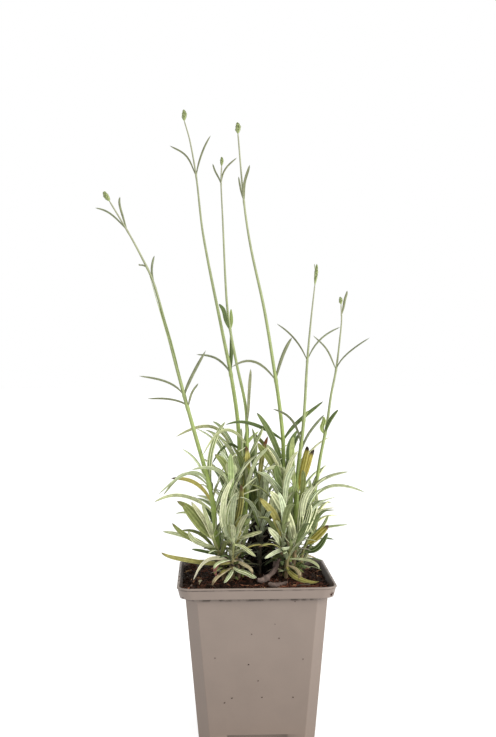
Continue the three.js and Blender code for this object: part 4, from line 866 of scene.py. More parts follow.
class Foliage:
    """Places every stem's blades by the rule, and keeps them clear of the other stems."""

    def __init__(self, plans: tuple[StemPlan, ...]) -> None:
        """Places the blades with a place of their own first, then the pairs up each stem."""
        self.lines = [StemLine(plan) for plan in plans]
        self.heroes: list[list[Blades]] = [[] for _ in plans]
        self.pairs: list[list[Blades]] = [[] for _ in plans]
        self.taken: list[tuple[Array, Array, Array, Array]] = []
        for owner, line in enumerate(self.lines):
            self.place(owner, line.rods())
            if line.plan.core:
                self.place(owner, self.core_rods(line.plan))
        for owner, line in enumerate(self.lines):
            for leaf in LEAVES.get(line.plan.name, ()):
                choices = (self.hero(line, leaf, swing * RULE.swing_step) for swing in RULE.swings)
                self.keep(owner, choices, self.heroes[owner])
        random = Draws(RULE.seed)
        for owner, line in enumerate(self.lines):
            for row in line.plan.whorls:
                self.add_pairs(owner, line, row, random)

    def core_rods(self, plan: StemPlan) -> Rods:
        """The old wood as upright rods beside each other."""
        x, y = plan.foot
        low, high = (
            np.array([[x + off, y, z] for off in HEART.rods])
            for z in (HEART.low + HEART.deep, HEART.high - HEART.deep)
        )
        return low, high, np.full(len(low), 1.1 * HEART.deep)

    def place(self, owner: int, rods: Rods) -> None:
        """Takes up the space of some rods."""
        self.taken.append((*rods, np.full(len(rods[2]), owner)))

    def is_clear(self, rods: Rods, owner: int) -> bool:
        """Tells whether rods stay clear of the other stems' pieces, the compost and the rim.

        The distance of two rods is that of their centre lines' nearest points, each held to its rod's length.
        """
        start, end, radius = rods
        points = np.concatenate([0.5 * (start + end), end])
        if (points[:, 2] < SOIL.height(points[:, 0], points[:, 1]) + RULE.soil_clear).any():
            return False
        edge = np.abs(points[:, :2]).max(-1)
        if ((edge > POT.rim_half - RULE.rim_reach) & (points[:, 2] < POT.height + RULE.rim_clear)).any():
            return False
        starts, ends, radii, owners = (np.concatenate(values) for values in zip(*self.taken))
        others = owners != owner
        q0, q1 = starts[others], ends[others]
        u, v = (end - start)[:, None], (q1 - q0)[None]
        w = start[:, None] - q0[None]
        a, b, c = (u * u).sum(-1), (u * v).sum(-1), (v * v).sum(-1)
        d, e = (u * w).sum(-1), (v * w).sum(-1)
        s = np.clip((b * e - c * d) / np.maximum(a * c - b * b, 1e-9), 0, 1)
        t = np.clip((b * s + e) / c, 0, 1)
        s = np.clip((b * t - d) / a, 0, 1)
        apart = np.linalg.norm(w + u * s[..., None] - v * t[..., None], axis=-1)
        return not (apart < radius[:, None] + radii[others][None] + RULE.blade_clear).any()

    def keep(self, owner: int, choices: Iterable[Blades], store: list[Blades]) -> None:
        """Keeps the first choice that is clear, or none."""
        for blade in choices:
            rods = RULE.rods(blade)
            if self.is_clear(rods, owner):
                self.place(owner, rods)
                store.append(blade)
                return

    def veils(self, blades: Blades) -> Array:
        """Tells which blades pass, as the camera sees them, in front of a stalk that shows bare."""
        points = blades.centre(np.linspace(BARE.blade_start, 1, BARE.blade_places))
        seen = RULE.outlined(points)
        is_hidden = np.zeros(len(blades.width), bool)
        for line in self.lines:
            if line.plan.name in BARE.tops:
                stalk = line.at(np.linspace(BARE.foot, BARE.tops[line.plan.name], BARE.stalk_places))
                flat = RULE.outlined(stalk)
                x, y = (np.interp(seen[..., 2], flat[:, 2], values) for values in (flat[:, 0], stalk[:, 1]))
                beside = (seen[..., 2] > flat[0, 2]) & (seen[..., 2] < flat[-1, 2])
                near = np.abs(seen[..., 0] - x) < BARE.gap
                before = points[..., 1] < y - BARE.depth
                is_hidden |= (beside & near & before).sum(-1) >= BARE.most
        return is_hidden

    def hero(self, line: StemLine, leaf: Leaf, swing: float) -> Blades:
        """A blade with an outline of its own. swing moves its tip nearer or further."""
        height, over_x, over_z, tip_x, tip_z, depth, width, turn, tone = leaf
        root = line.root(RULE.seen(0, height, line.at(height)[1])[2])
        reach = depth + swing
        over = RULE.seen(over_x, over_z, root[1] + RULE.over_depth * reach)
        blade = Blades.one(root, over, RULE.seen(tip_x, tip_z, root[1] + reach), width, turn, tone)
        blade.face(np.array(RULE.sight), RULE.facing if turn >= RULE.broad_turn else RULE.narrow_facing)
        return blade

    def sprung(
        self, line: StemLine, height: float, azimuth: float, lean: float, sizes: Triple
    ) -> Blades:
        """A blade that springs from the stem at a height, leaning out in the direction of azimuth.

        Args:
            line: The stem.
            height: Where the blade is rooted.
            azimuth: Its direction in plan, in radians.
            lean: How far it leans from upright, in radians.
            sizes: Its length, its width, and its turn in degrees.

        Returns:
            The blade.
        """
        length, width, turn = sizes
        root = line.root(height)
        out = level_way(azimuth)
        tip = root + out * length * math.sin(lean) + UP * length * math.cos(lean)
        over = 0.5 * (root + tip) + UP * length * RULE.lift_share * math.sin(lean)
        over = over - out * length * RULE.hollow_share * math.cos(lean)
        return Blades.one(root, over, tip, width, turn, DEAD if line.plan.core else GREY)

    def add_pairs(self, owner: int, line: StemLine, row: tuple[float, ...], random: Draws) -> None:
        """Adds a row of leaf pairs, each turned a quarter from the last.

        Args:
            owner: The stem's number.
            line: The stem.
            row: One of its plan's whorls.
            random: Draws each leaf's place and size.
        """
        low, high, pairs, length, width, lean = row
        first = random() * math.pi
        for leaf in range(2 * int(pairs)):
            pair, side = divmod(leaf, 2)
            share = pair / (pairs - 1) if pairs > 1 else 0.5
            azimuth = first + pair * math.pi / 2 + side * math.pi + RULE.azimuth_spread * (random() - 0.5)
            height = mix(low, high, share) + RULE.height_spread * (random() - 0.5)
            leaning = lean + mix(RULE.low_lean, RULE.high_lean, share) + RULE.lean_spread * (random() - 0.5)
            long, wide = (size * (RULE.smallest + RULE.size_range * random()) for size in (length, width))
            sizes = (long, wide, RULE.turn_spread * (random() - 0.5))
            turns = (azimuth + math.radians(swing * RULE.turn_step) for swing in RULE.swings)
            choices = (self.sprung(line, height, turn, math.radians(leaning), sizes) for turn in turns)
            self.keep(owner, choices, self.pairs[owner])


@dataclass(frozen=True)
class BladeForm:
    """The section and fineness of a leaf blade.

    upper and under hold places across the blade, from -1 at one margin to 1 at the other. foot is the half
    width's share at the blade's root, full the place where it is widest, and taper where its end starts.
    """

    rings: int
    upper: tuple[float, ...]
    under: tuple[float, ...]
    roll: float = 0.34
    groove: float = 0.12
    groove_width: float = 0.16
    thick: float = 0.3
    keel: float = 0.26
    keel_width: float = 0.2
    rolled_edge: float = 0.12
    twist: float = 14
    sway: float = 0.4
    foot: float = 0.36
    full: float = 0.45
    taper: float = 0.58
    fall: float = 1.9
    point: float = 0.52

    @property
    def across(self) -> Array:
        """Places across for each point of the section, over the top from its right margin and back below."""
        return -np.array([*self.upper, *self.under])

    def outline(self, share: Array) -> Array:
        """The half width's share along the blade: a sine rise, and from taper to 1 a narrowing end."""
        least = 0.002
        rise = mix(self.foot, 1, np.sin(np.minimum(share / self.full, 1) * math.pi / 2))
        late = np.maximum((share - self.taper) / (1 - self.taper), 0)
        return rise * np.maximum(1 - late**self.fall, least) ** self.point

    def relief(self, half: Array) -> Array:
        """Height of each point of the section over the blade's centre line.

        The upper side falls with the cube of the distance from the midrib, as its margins roll under, and it
        has a groove. The underside lies below it by the blade's thickness, with a keel.

        Args:
            half: The half width at each ring, as blades x rings.

        Returns:
            Heights in mm, as blades x rings x points.
        """
        u = self.across
        edge_start, edge_width = 0.6, 0.2
        last = len(self.upper) - 1
        points = np.arange(len(u))
        slim = np.minimum(half, 1)[..., None]
        groove = self.groove * slim * np.exp(-((u / self.groove_width) ** 2))
        top = -self.roll * half[..., None] * np.abs(u) ** 3 - groove
        keel = self.keel * np.exp(-((u / self.keel_width) ** 2))
        depth = self.thick + keel + self.rolled_edge * smooth((np.abs(u) - edge_start) / edge_width)
        edge = np.isin(points, (0, last))
        return top - slim * ((points > last) * depth + edge * 0.5 * self.thick) + 0.5 * self.thick

    def grid(self, blades: Blades, random: Random) -> tuple[Array, Array]:
        """Works out the blades' points.

        A point lies on the centre line, plus the side direction times its place across and the half width,
        plus the up direction times its relief. The side direction turns slowly along the blade.

        Args:
            blades: The blades.
            random: Draws each blade's twist and sway.

        Returns:
            Points as blades x rings x points x 3, and the rings' shares.
        """
        first, evenness, untwisted, waves = 0.06, 0.6, 0.3, 5
        share = 0.5 - 0.5 * np.cos(np.linspace(first, 1, self.rings) * math.pi)
        share = mix(share, even(self.rings), evenness)
        count = len(blades.width)
        centre = blades.centre(share)
        along, level = blades.axes(share)
        twist = random.normal(0, self.twist, count)
        angle = np.radians(blades.turn[:, None] + twist[:, None] * (share - untwisted))
        side = turned(level, along, angle)
        up = np.cross(along, side)
        phase = random.uniform(0, 2 * math.pi, (count, 1))
        sway = self.sway * random.normal(0, 1, (count, 1)) * 4 * share * (1 - share)
        centre = centre + side * (sway * np.sin(waves * share + phase))[..., None]
        half = 0.5 * blades.width[:, None] * self.outline(share)
        points = centre[:, :, None] + side[:, :, None] * (half[..., None] * self.across)[..., None]
        return points + up[:, :, None] * self.relief(half)[..., None], share


HERO_FORM = BladeForm(16, (-1, -0.82, -0.48, -0.15, 0, 0.15, 0.48, 0.82, 1), (0.8, 0.2, -0.2, -0.8))
PAIR_FORM = BladeForm(10, (-1, -0.6, 0, 0.6, 1), (0.65, 0, -0.65))
STALK_FORM = BladeForm(
    12, (-1, -0.6, 0, 0.6, 1), (0.7, 0.3, -0.3, -0.7), roll=0.5, thick=0.62, keel=0.3, foot=0.4, taper=0.72,
    point=0.5,
)
SMALL_FORM = BladeForm(7, (-1, 0, 1), (0.6, 0, -0.6), twist=24)
SCALE_FORM = BladeForm(
    6, (-1, -0.5, 0, 0.5, 1), (0.6, 0, -0.6), roll=0.75, groove=0, thick=0.12, keel=0.05, twist=4, sway=0,
    foot=0.32, taper=0.5, point=0.62,
)


@dataclass(frozen=True)
class BladeColours:
    """How the blades' colours vary, and how narrow ones lose their stripes, by their width in mm."""

    warmth: float = 0.025
    striped_width: float = 3.4
    plain_width: float = 1.8
    plain: float = 0.5
    felt: float = 0.45


def add_blades(
    surface: Surface,
    blades: Blades,
    form: BladeForm,
    random: Random,
    spread: float = 0.1,
    shaded: bool = False,
) -> None:
    """Adds blades to a surface, each a little lighter or darker and warmer or cooler than its tone.

    Args:
        surface: What the blades are added to.
        blades: The blades.
        form: Their section and fineness.
        random: Draws the shape and colour of each one.
        spread: How much their lightness varies.
        shaded: Whether painted shade darkens them in the tuft's hollow.
    """
    looks = BladeColours()
    points, share = form.grid(blades, random)
    count = len(blades.width)
    light = 1 + spread * random.normal(0, 1, (count, 1))
    warm = looks.warmth * random.normal(0, 1, (count, 1))
    shift = np.concatenate([light * (1 + warm), light, light * (1 - warm), np.ones((count, 1))], 1)
    band, margin, tip = (
        (np.array([getattr(tone, key) for tone in blades.tones]) * shift)[:, None, None]
        for key in ("band", "margin", "tip")
    )
    narrow = smooth((looks.striped_width - blades.width) / (looks.striped_width - looks.plain_width))
    margin = mix(margin, band, looks.plain * narrow[:, None, None, None])
    below = np.arange(len(form.across)) >= len(form.upper)
    band = mix(band, margin, looks.felt * below[None, None, :, None])
    across = 0.5 + 0.5 * form.across
    # Painted shade: the colours are darkened in the tuft's hollow.
    shade = HOLLOW_SHADE.shade(points) if shaded else 1
    round_uv = np.append(across, across[0])
    surface.add(points, band * shade, margin * shade, tip * shade, round_uv, share)


def ringed(centres: Array, radius: Array, sides: int, ref: Array, lobes: float = 0) -> Array:
    """Rings of points round centre lines: c + r (side cos a + up sin a).

    Args:
        centres: Points, as tubes x rings x 3, or as rings x 3 for a single tube.
        radius: Radii, as tubes x rings, or as rings.
        sides: Points in a ring.
        ref: The direction that a = 0 faces, as far as the tube's direction lets it.
        lobes: How much deeper the radius is between four ridges.

    Returns:
        Points, as tubes x rings x sides x 3.
    """
    centres, radius = centres.reshape(-1, *centres.shape[-2:]), np.atleast_2d(radius)
    along = unit(np.gradient(centres, axis=1))
    side = unit(ref - along * (along * ref).sum(-1, keepdims=True))
    up = np.cross(along, side)
    angle = 2 * math.pi * np.arange(sides) / sides
    r = radius[..., None] * (1 - lobes + lobes * np.cos(4 * angle))
    across, above = (r * np.cos(angle))[..., None], (r * np.sin(angle))[..., None]
    return centres[:, :, None] + side[:, :, None] * across + up[:, :, None] * above


def add_tube(surface: Surface, grid: Array, colours: tuple[Color, ...]) -> None:
    """Adds tubes whose colour changes evenly along them, with painted shade darkening it in the tuft's
    hollow.

    Args:
        surface: What the tubes are added to.
        grid: Their points.
        colours: The colours at even places along them.
    """
    streak_light = 1.25
    uv_length = 10
    share = even(grid.shape[1])
    stops = even(len(colours))
    tint = np.stack([np.interp(share, stops, channel) for channel in zip(*colours)], -1)[None, :, None]
    # Painted shade: the tint is darkened in the tuft's hollow.
    tint = tint * HOLLOW_SHADE.shade(grid)
    lengths = np.linalg.norm(np.diff(grid[0].mean(1), axis=0), axis=-1)
    along = np.append(0, np.cumsum(lengths)) / uv_length
    surface.add(grid, tint, tint * streak_light, along_uv=along)


@dataclass(frozen=True)
class StemLooks:
    """The colours up a stem, and how it swells where leaves spring. Sizes in mm, the rest as shares."""

    stalk: tuple[Color, ...] = (linear("8ea34b"), linear("86964f"), linear("868f65"), linear("8c8e75"))
    shoot: tuple[Color, ...] = (linear("755845"), linear("857452"), linear("7f8d55"))
    ring_step: float = 1.6
    sides: int = 16
    lobes: float = 0.13
    swelling: float = 0.22
    swelling_reach: float = 1.1
    rough: float = 0.04
    rough_size: float = 6
    top_slim: float = 0.86
    fullness: float = 0.16
    end: float = 0.6


STEM_LOOKS = StemLooks()


def make_stem(line: StemLine, roots: Array) -> Surface:
    """The stem itself: four-ridged, swollen at its leaf nodes, brownish at a shoot's foot.

    Args:
        line: The stem's centre line.
        roots: Where its leaves are rooted.

    Returns:
        Its surface.
    """
    looks = STEM_LOOKS
    low = line.knots[0][2]
    heights = np.linspace(low, line.top, math.ceil((line.top - low) / looks.ring_step) + 1)
    centre = line.at(heights)
    off = (heights[:, None] - roots[None, :, 2]) / looks.swelling_reach
    nodes = np.exp(-(off**2)).max(-1, initial=0)
    rough = looks.rough * lattice_noise(centre, looks.rough_size, 3)
    rise = (heights - low) / (line.top - low)
    slim = mix(1, looks.top_slim, rise) + looks.fullness * np.sin(math.pi * rise)
    radius = line.half(heights) * slim * (1 + looks.swelling * nodes + rough)
    radius[-1] *= looks.end
    surface = Surface()
    grid = ringed(centre, radius, looks.sides, EAST, looks.lobes)
    add_tube(surface, grid, looks.stalk if line.plan.flowering else looks.shoot)
    return surface


@dataclass(frozen=True)
class HollowShade:
    """Painted shade in the hollow between the two clumps, in mm, and how much darker it makes the leaves and
    stems there.
    """

    middle: float = 3.5
    reach: float = 11
    top: float = 132
    fade: float = 24
    front: float = -13
    front_fade: float = 7
    depth: float = 0.86

    def shade(self, points: Array) -> Array:
        """The painted shade that colours are multiplied by, as points x 4: least in the hollow's middle, near
        the compost.
        """
        x, y, z = np.moveaxis(points, -1, 0)
        near = np.exp(-(((x - self.middle) / self.reach) ** 2))
        low = smooth((self.top - z) / self.fade)
        behind = smooth((y - self.front) / self.front_fade)
        painted_shade = 1 - self.depth * near * low * behind
        return np.stack([painted_shade, painted_shade, painted_shade, np.ones_like(painted_shade)], -1)


HOLLOW_SHADE = HollowShade()


@dataclass(frozen=True)
class FillLooks:
    """The leaves that aren't placed by name: how their tones mix, and the small leaves beside and above them.

    Lengths and widths are in mm, leans and turns in degrees. small_length is a share of the leaf beside it,
    and twig_space the (least x, most x, most y, most z) that stays free for the long twig.
    """

    tones: tuple[Tone, ...] = (GREY, ASH, OLIVE, DARK, STRIPED, PALE, GREEN)
    weights: tuple[float, ...] = (0.2, 0.08, 0.16, 0.12, 0.25, 0.08, 0.12)
    young_tones: tuple[Tone, ...] = (ASH, GREY, PALE, STRIPED)
    low_tones: tuple[Tone, ...] = (DARK, OLIVE, BRONZE, STRAW, DARK)
    low_height: float = 101
    low_spread: float = 4
    small_length: Pair = (0.26, 0.52)
    small_width: float = 0.62
    small_angle: Pair = (0.3, 0.9)
    small_rise: float = 0.25
    small_turn: float = 20
    small_start: float = 0.5
    rosette: int = 6
    young_lean_spread: float = 5
    young_scale: Pair = (0.85, 1.1)
    young_bow: float = 0.08
    young_turn: float = 12
    young_length: Pair = (14, 8)
    young_lean: Pair = (38, 8)
    young_below_top: Pair = (3.5, 0.6)
    young_width: Pair = (1.5, 2.2)
    sheath_forward: float = -0.4
    sheath_bow: float = 0.36
    sheath_spread: float = 0.3
    sheath_turn: float = 20
    stalk_widths: Pair = (1.25, 2)
    stalk_slim: float = 0.68
    foot_leaves: int = 13
    foot_lean: Pair = (25, 98)
    foot_length: Pair = (6, 15)
    foot_width: Pair = (1.3, 2.4)
    foot_turn: float = 25
    foot_bow: float = 0.16
    foot_start: float = 0.5
    foot_reach: float = 41
    foot_clear: float = 1.2
    foot_height: float = 17
    twig_space: tuple[float, float, float, float] = (1, 20, -7, 103)
    foot_tones: tuple[Tone, ...] = (ASH, GREY, PALE, DARK, OLIVE, DEAD, DEAD, STRAW, LITTER)
    heart_leaves: int = 70
    heart_tones: tuple[Tone, ...] = (LITTER, CREAM, STRAW, LITTER, ASH)
    seed: int = 31


FILL = FillLooks()


def pick_tones(roots: Array, random: Random) -> list[Tone]:
    """Draws a tone for each leaf: darker and browner ones low down, where little light reaches."""
    drawn = random.choice(len(FILL.tones), len(roots), p=np.array(FILL.weights) / sum(FILL.weights))
    low = random.choice(len(FILL.low_tones), len(roots))
    deep = roots[:, 2] + random.normal(0, FILL.low_spread, len(roots)) < FILL.low_height
    return [FILL.low_tones[j] if is_low else FILL.tones[i] for i, j, is_low in zip(drawn, low, deep)]


def drawn_from(tones: tuple[Tone, ...], count: int, random: Random) -> list[Tone]:
    """Draws some tones, each as likely as the others."""
    return [tones[i] for i in random.choice(len(tones), count)]


def small_leaves(pairs: Blades, random: Random) -> Blades:
    """Two small young leaves in the angle above each paired leaf.

    Args:
        pairs: The leaves that they stand beside.
        random: Draws their length and direction.

    Returns:
        The small leaves.
    """
    count = 2 * len(pairs.width)
    root, over, tip = (np.repeat(points, 2, 0) for points in (pairs.root, pairs.over, pairs.tip))
    scale = random.uniform(*FILL.small_length, (count, 1))
    sign = np.tile([1.0, -1.0], count // 2)
    axis = np.tile(UP, (count, 1))
    angle = sign * random.uniform(*FILL.small_angle, count)
    rise = UP * scale * np.linalg.norm(tip - root, axis=-1, keepdims=True) * FILL.small_rise
    start = root + FILL.small_start * UP
    width = np.repeat(pairs.width, 2) * FILL.small_width
    over = start + turned((over - start) * scale, axis, angle) + 0.5 * rise
    tip = start + turned((tip - start) * scale, axis, angle) + rise
    turn = random.normal(0, FILL.small_turn, count)
    return Blades(start, over, tip, width, turn, drawn_from(FILL.young_tones, count, random))


def rosette(line: StemLine, random: Random) -> Blades:
    """The young leaves that close a shoot's top, each turned on from the last by the golden angle."""
    count = FILL.rosette
    azimuth = random.uniform(0, 2 * math.pi) + np.arange(count) * math.pi * (3 - math.sqrt(5))
    lean = np.linspace(*FILL.young_lean, count) + random.normal(0, FILL.young_lean_spread, count)
    lean = np.radians(lean)[:, None]
    length = np.linspace(*FILL.young_length, count)[:, None] * random.uniform(*FILL.young_scale, (count, 1))
    out = level_way(azimuth)
    root = line.at(line.top - np.linspace(*FILL.young_below_top, count))
    tip = root + out * length * np.sin(lean) + UP * length * np.cos(lean)
    over = 0.5 * (root + tip) + out * FILL.young_bow * length
    tones = drawn_from(FILL.young_tones, count, random)
    width = random.uniform(*FILL.young_width, count)
    return Blades(root, over, tip, width, random.normal(0, FILL.young_turn, count), tones)


def sheath_leaves(line: StemLine) -> Blades:
    """The leaf pairs that clasp a stem along most of their length."""
    pairs = []
    for low, high, width in line.plan.sheaths:
        for sign in (-1, 1):
            off = np.array([sign, FILL.sheath_forward, 0])
            over = line.at(0.5 * (low + high)) + FILL.sheath_bow * width * off
            tip = line.at(high) + FILL.sheath_spread * off
            pairs.append(Blades.one(line.at(low), over, tip, width, FILL.sheath_turn * sign, SHEATH))
    return Blades.joined(pairs)


def foot_leaves(line: StemLine, random: Random) -> Blades:
    """Short leaves round a stem's foot: young ones, and old ones that have paled or died.

    Args:
        line: The stem's centre line.
        random: Draws their places and shapes.

    Returns:
        The leaves, none of them under the compost.
    """
    is_core = line.plan.core
    count = FILL.heart_leaves if is_core else FILL.foot_leaves
    out = level_way(random.uniform(0, 2 * math.pi, count))
    lean = np.radians(random.uniform(*FILL.foot_lean, (count, 1)))
    length = random.uniform(*FILL.foot_length, (count, 1))
    high = line.top if is_core else line.foot + FILL.foot_height
    root = line.at(random.uniform(line.foot + FILL.foot_start, high, count))
    tip = root + out * length * np.sin(lean) + UP * length * np.cos(lean)
    over = 0.5 * (root + tip) + UP * FILL.foot_bow * length * np.sin(lean)
    for points in (over, tip):
        points[:, :2] = np.clip(points[:, :2], -FILL.foot_reach, FILL.foot_reach)
        points[:, 2] = np.maximum(points[:, 2], SOIL.height(points[:, 0], points[:, 1]) + FILL.foot_clear)
    tones = drawn_from(FILL.foot_tones, count, random)
    if is_core:
        tones = [DEAD] * (count - len(FILL.heart_tones)) + list(FILL.heart_tones)
    low_x, high_x, high_y, high_z = FILL.twig_space
    x, y, z = tip.T
    is_inside = (x > low_x) & (x < high_x) & (y < high_y) & (z < high_z)
    width = random.uniform(*FILL.foot_width, count)
    turn = random.normal(0, FILL.foot_turn, count)
    return Blades(root, over, tip, width, turn, tones).chosen(~is_inside)


def make_leaves(foliage: Foliage, line: StemLine, heroes: list[Blades], pairs: list[Blades]) -> Surface:
    """All leaves of one stem.

    Args:
        foliage: All the stems' blades.
        line: The stem's centre line.
        heroes: The leaves with an outline of their own.
        pairs: The leaves of the pairs up the stem.

    Returns:
        Their surface.
    """
    plan = line.plan
    random = np.random.default_rng(FILL.seed + sum(map(ord, plan.name)))
    surface = Surface()
    thin = [blade for blade in heroes if blade.tones[0] is SLATE]
    broad = [blade for blade in heroes if blade.tones[0] is not SLATE]
    if thin:
        placed = Blades.joined(thin)
        placed.width = np.clip(FILL.stalk_slim * placed.width, *FILL.stalk_widths)
        add_blades(surface, placed, STALK_FORM, random, 0.05)
    if broad:
        add_blades(surface, Blades.joined(broad), HERO_FORM, random, 0.05)
    if pairs:
        paired = Blades.joined(pairs)
        paired = paired.chosen(~foliage.veils(paired))
        if not plan.core:
            paired.tones = pick_tones(paired.root, random)
            small = small_leaves(paired, random)
            add_blades(surface, small.chosen(~foliage.veils(small)), SMALL_FORM, random, shaded=True)
        add_blades(surface, paired, PAIR_FORM, random, shaded=True)
    if not plan.flowering and not plan.core:
        add_blades(surface, rosette(line, random), PAIR_FORM, random)
    if plan.sheaths:
        add_blades(surface, sheath_leaves(line), PAIR_FORM, random)
    add_blades(surface, foot_leaves(line, random), PAIR_FORM, random, shaded=not plan.core)
    return surface


@dataclass(frozen=True)
class BudForm:
    """A closed spike: a spindle under rows of overlapping scales.

    neck, fork_out and fork_width are in mm, angle_spread in radians, and the rest counts and shares.
    """

    rings: int = 15
    sides: int = 14
    rows: int = 6
    around: int = 4
    neck: float = 0.15
    wave: Pair = (0.1, 0.99)
    power: float = 0.8
    half: float = 0.43
    spindle: float = 0.8
    first_row: float = 0.02
    row_span: float = 0.7
    row_out: float = 0.56
    tip_out: float = 0.86
    scale_width: float = 1.35
    scale_length: float = 0.34
    bulge: float = 0.08
    angle_spread: float = 0.12
    length_range: Pair = (0.85, 1.05)
    light_range: Pair = (0.93, 1.07)
    fork_at: tuple[float, ...] = (0.5, 0.8, 1)
    fork_out: float = 1.6
    fork_bow: float = 0.55
    fork_width: float = 1.4
    green: Color = linear("8a9564")
    pale: Color = linear("909a68")


BUD = BudForm()


def make_spike(line: StemLine) -> Surface:
    """A closed spike on its stalk, over the length that the frame gives it.

    Args:
        line: The stalk's centre line.

    Returns:
        Its surface.
    """
    plan = line.plan.spike
    random = np.random.default_rng(FILL.seed + ord(line.plan.name[-1]))
    foot = line.knots[-1]
    tip = RULE.seen(plan.tip_x, plan.tip_z, foot[1])
    length = np.linalg.norm(tip - foot)
    along = unit(tip - foot)
    across = unit(np.cross([0, 1, 0], along))
    deep = np.cross(along, across)
    share = even(BUD.rings)
    half = BUD.half * plan.width * np.sin(math.pi * mix(*BUD.wave, share)) ** BUD.power
    radius = BUD.spindle * half
    radius[0] = 0.5 * line.plan.thick[1] + BUD.neck
    surface = Surface()
    centre = foot + along * (share * length)[:, None]
    add_tube(surface, ringed(centre, radius, BUD.sides, across), (BUD.green, BUD.pale))
    count = BUD.rows * BUD.around
    row, place = np.divmod(np.arange(count), BUD.around)
    at = BUD.first_row + BUD.row_span * row / (BUD.rows - 1)
    angle = 2 * math.pi * (place + 0.5 * (row % 2)) / BUD.around + random.normal(0, BUD.angle_spread, count)
    out = across * np.cos(angle)[:, None] + deep * np.sin(angle)[:, None]
    wide = np.interp(at, share, half)[:, None]
    root = foot + along * (at * length)[:, None] + out * BUD.row_out * wide
    reach = BUD.scale_length * length * random.uniform(*BUD.length_range, (count, 1))
    reach = np.minimum(reach, (1 - at)[:, None] * length)
    tip_wide = np.interp(at + reach[:, 0] / length, share, half)[:, None]
    tips = root + along * reach + out * (BUD.tip_out * tip_wide - BUD.row_out * wide)
    over = 0.5 * (root + tips) + out * BUD.bulge * wide
    scales = Blades(root, over, tips, BUD.scale_width * wide[:, 0], 0 * angle, [SCALE] * count)
    points, places = SCALE_FORM.grid(scales, random)
    points = face_outward(points, scales, along)
    tints = np.array([SCALE.band]) * random.uniform(*BUD.light_range, (count, 1))
    round_uv = 0.5 + 0.5 * np.append(SCALE_FORM.across, SCALE_FORM.across[0])
    surface.add(points, tints[:, None, None], SCALE.margin, SCALE.tip, round_uv, places)
    if plan.forked:
        start, middle, end = (foot + along * part * length for part in BUD.fork_at)
        middle, end = middle - across * BUD.fork_bow * BUD.fork_out, end - across * BUD.fork_out
        fork = Blades.one(start, middle, end, BUD.fork_width, 0, SCALE)
        add_blades(surface, fork, PAIR_FORM, random)
    return surface


def face_outward(points: Array, scales: Blades, along: Array) -> Array:
    """Turns each scale about its own centre line until its upper side faces away from the spike.

    Args:
        points: The scales' points, as scales x rings x points x 3.
        scales: The scales.
        along: The spike's direction.

    Returns:
        The turned points.
    """
    middle = points.mean(2, keepdims=True)
    away = scales.over - 0.5 * (scales.root + scales.tip)
    away = unit(away - along * (away * along).sum(-1, keepdims=True))
    last = len(SCALE_FORM.upper) - 1
    old_side = unit(points[:, :, 0] - points[:, :, last])
    old_along = unit(np.gradient(middle[:, :, 0], axis=1))
    new_side = -unit(np.cross(away, along))[:, None] + 0 * old_side
    old_up, new_up = np.cross(old_along, old_side), np.cross(old_along, new_side)
    facing = middle
    for old, new in ((old_side, new_side), (old_up, new_up), (old_along, old_along)):
        part = ((points - middle) * old[:, :, None]).sum(-1, keepdims=True)
        facing = facing + new[:, :, None] * part
    return facing


@dataclass(frozen=True)
class PotRing:
    """One ring of the pot's skin: its height, half width, corner size and roundness, and its notches."""

    z: float
    half: float
    corner: float
    round: float
    dent: float = 0
    dent_half: float = 0.5 * POT.notch_width
    inside: bool = False


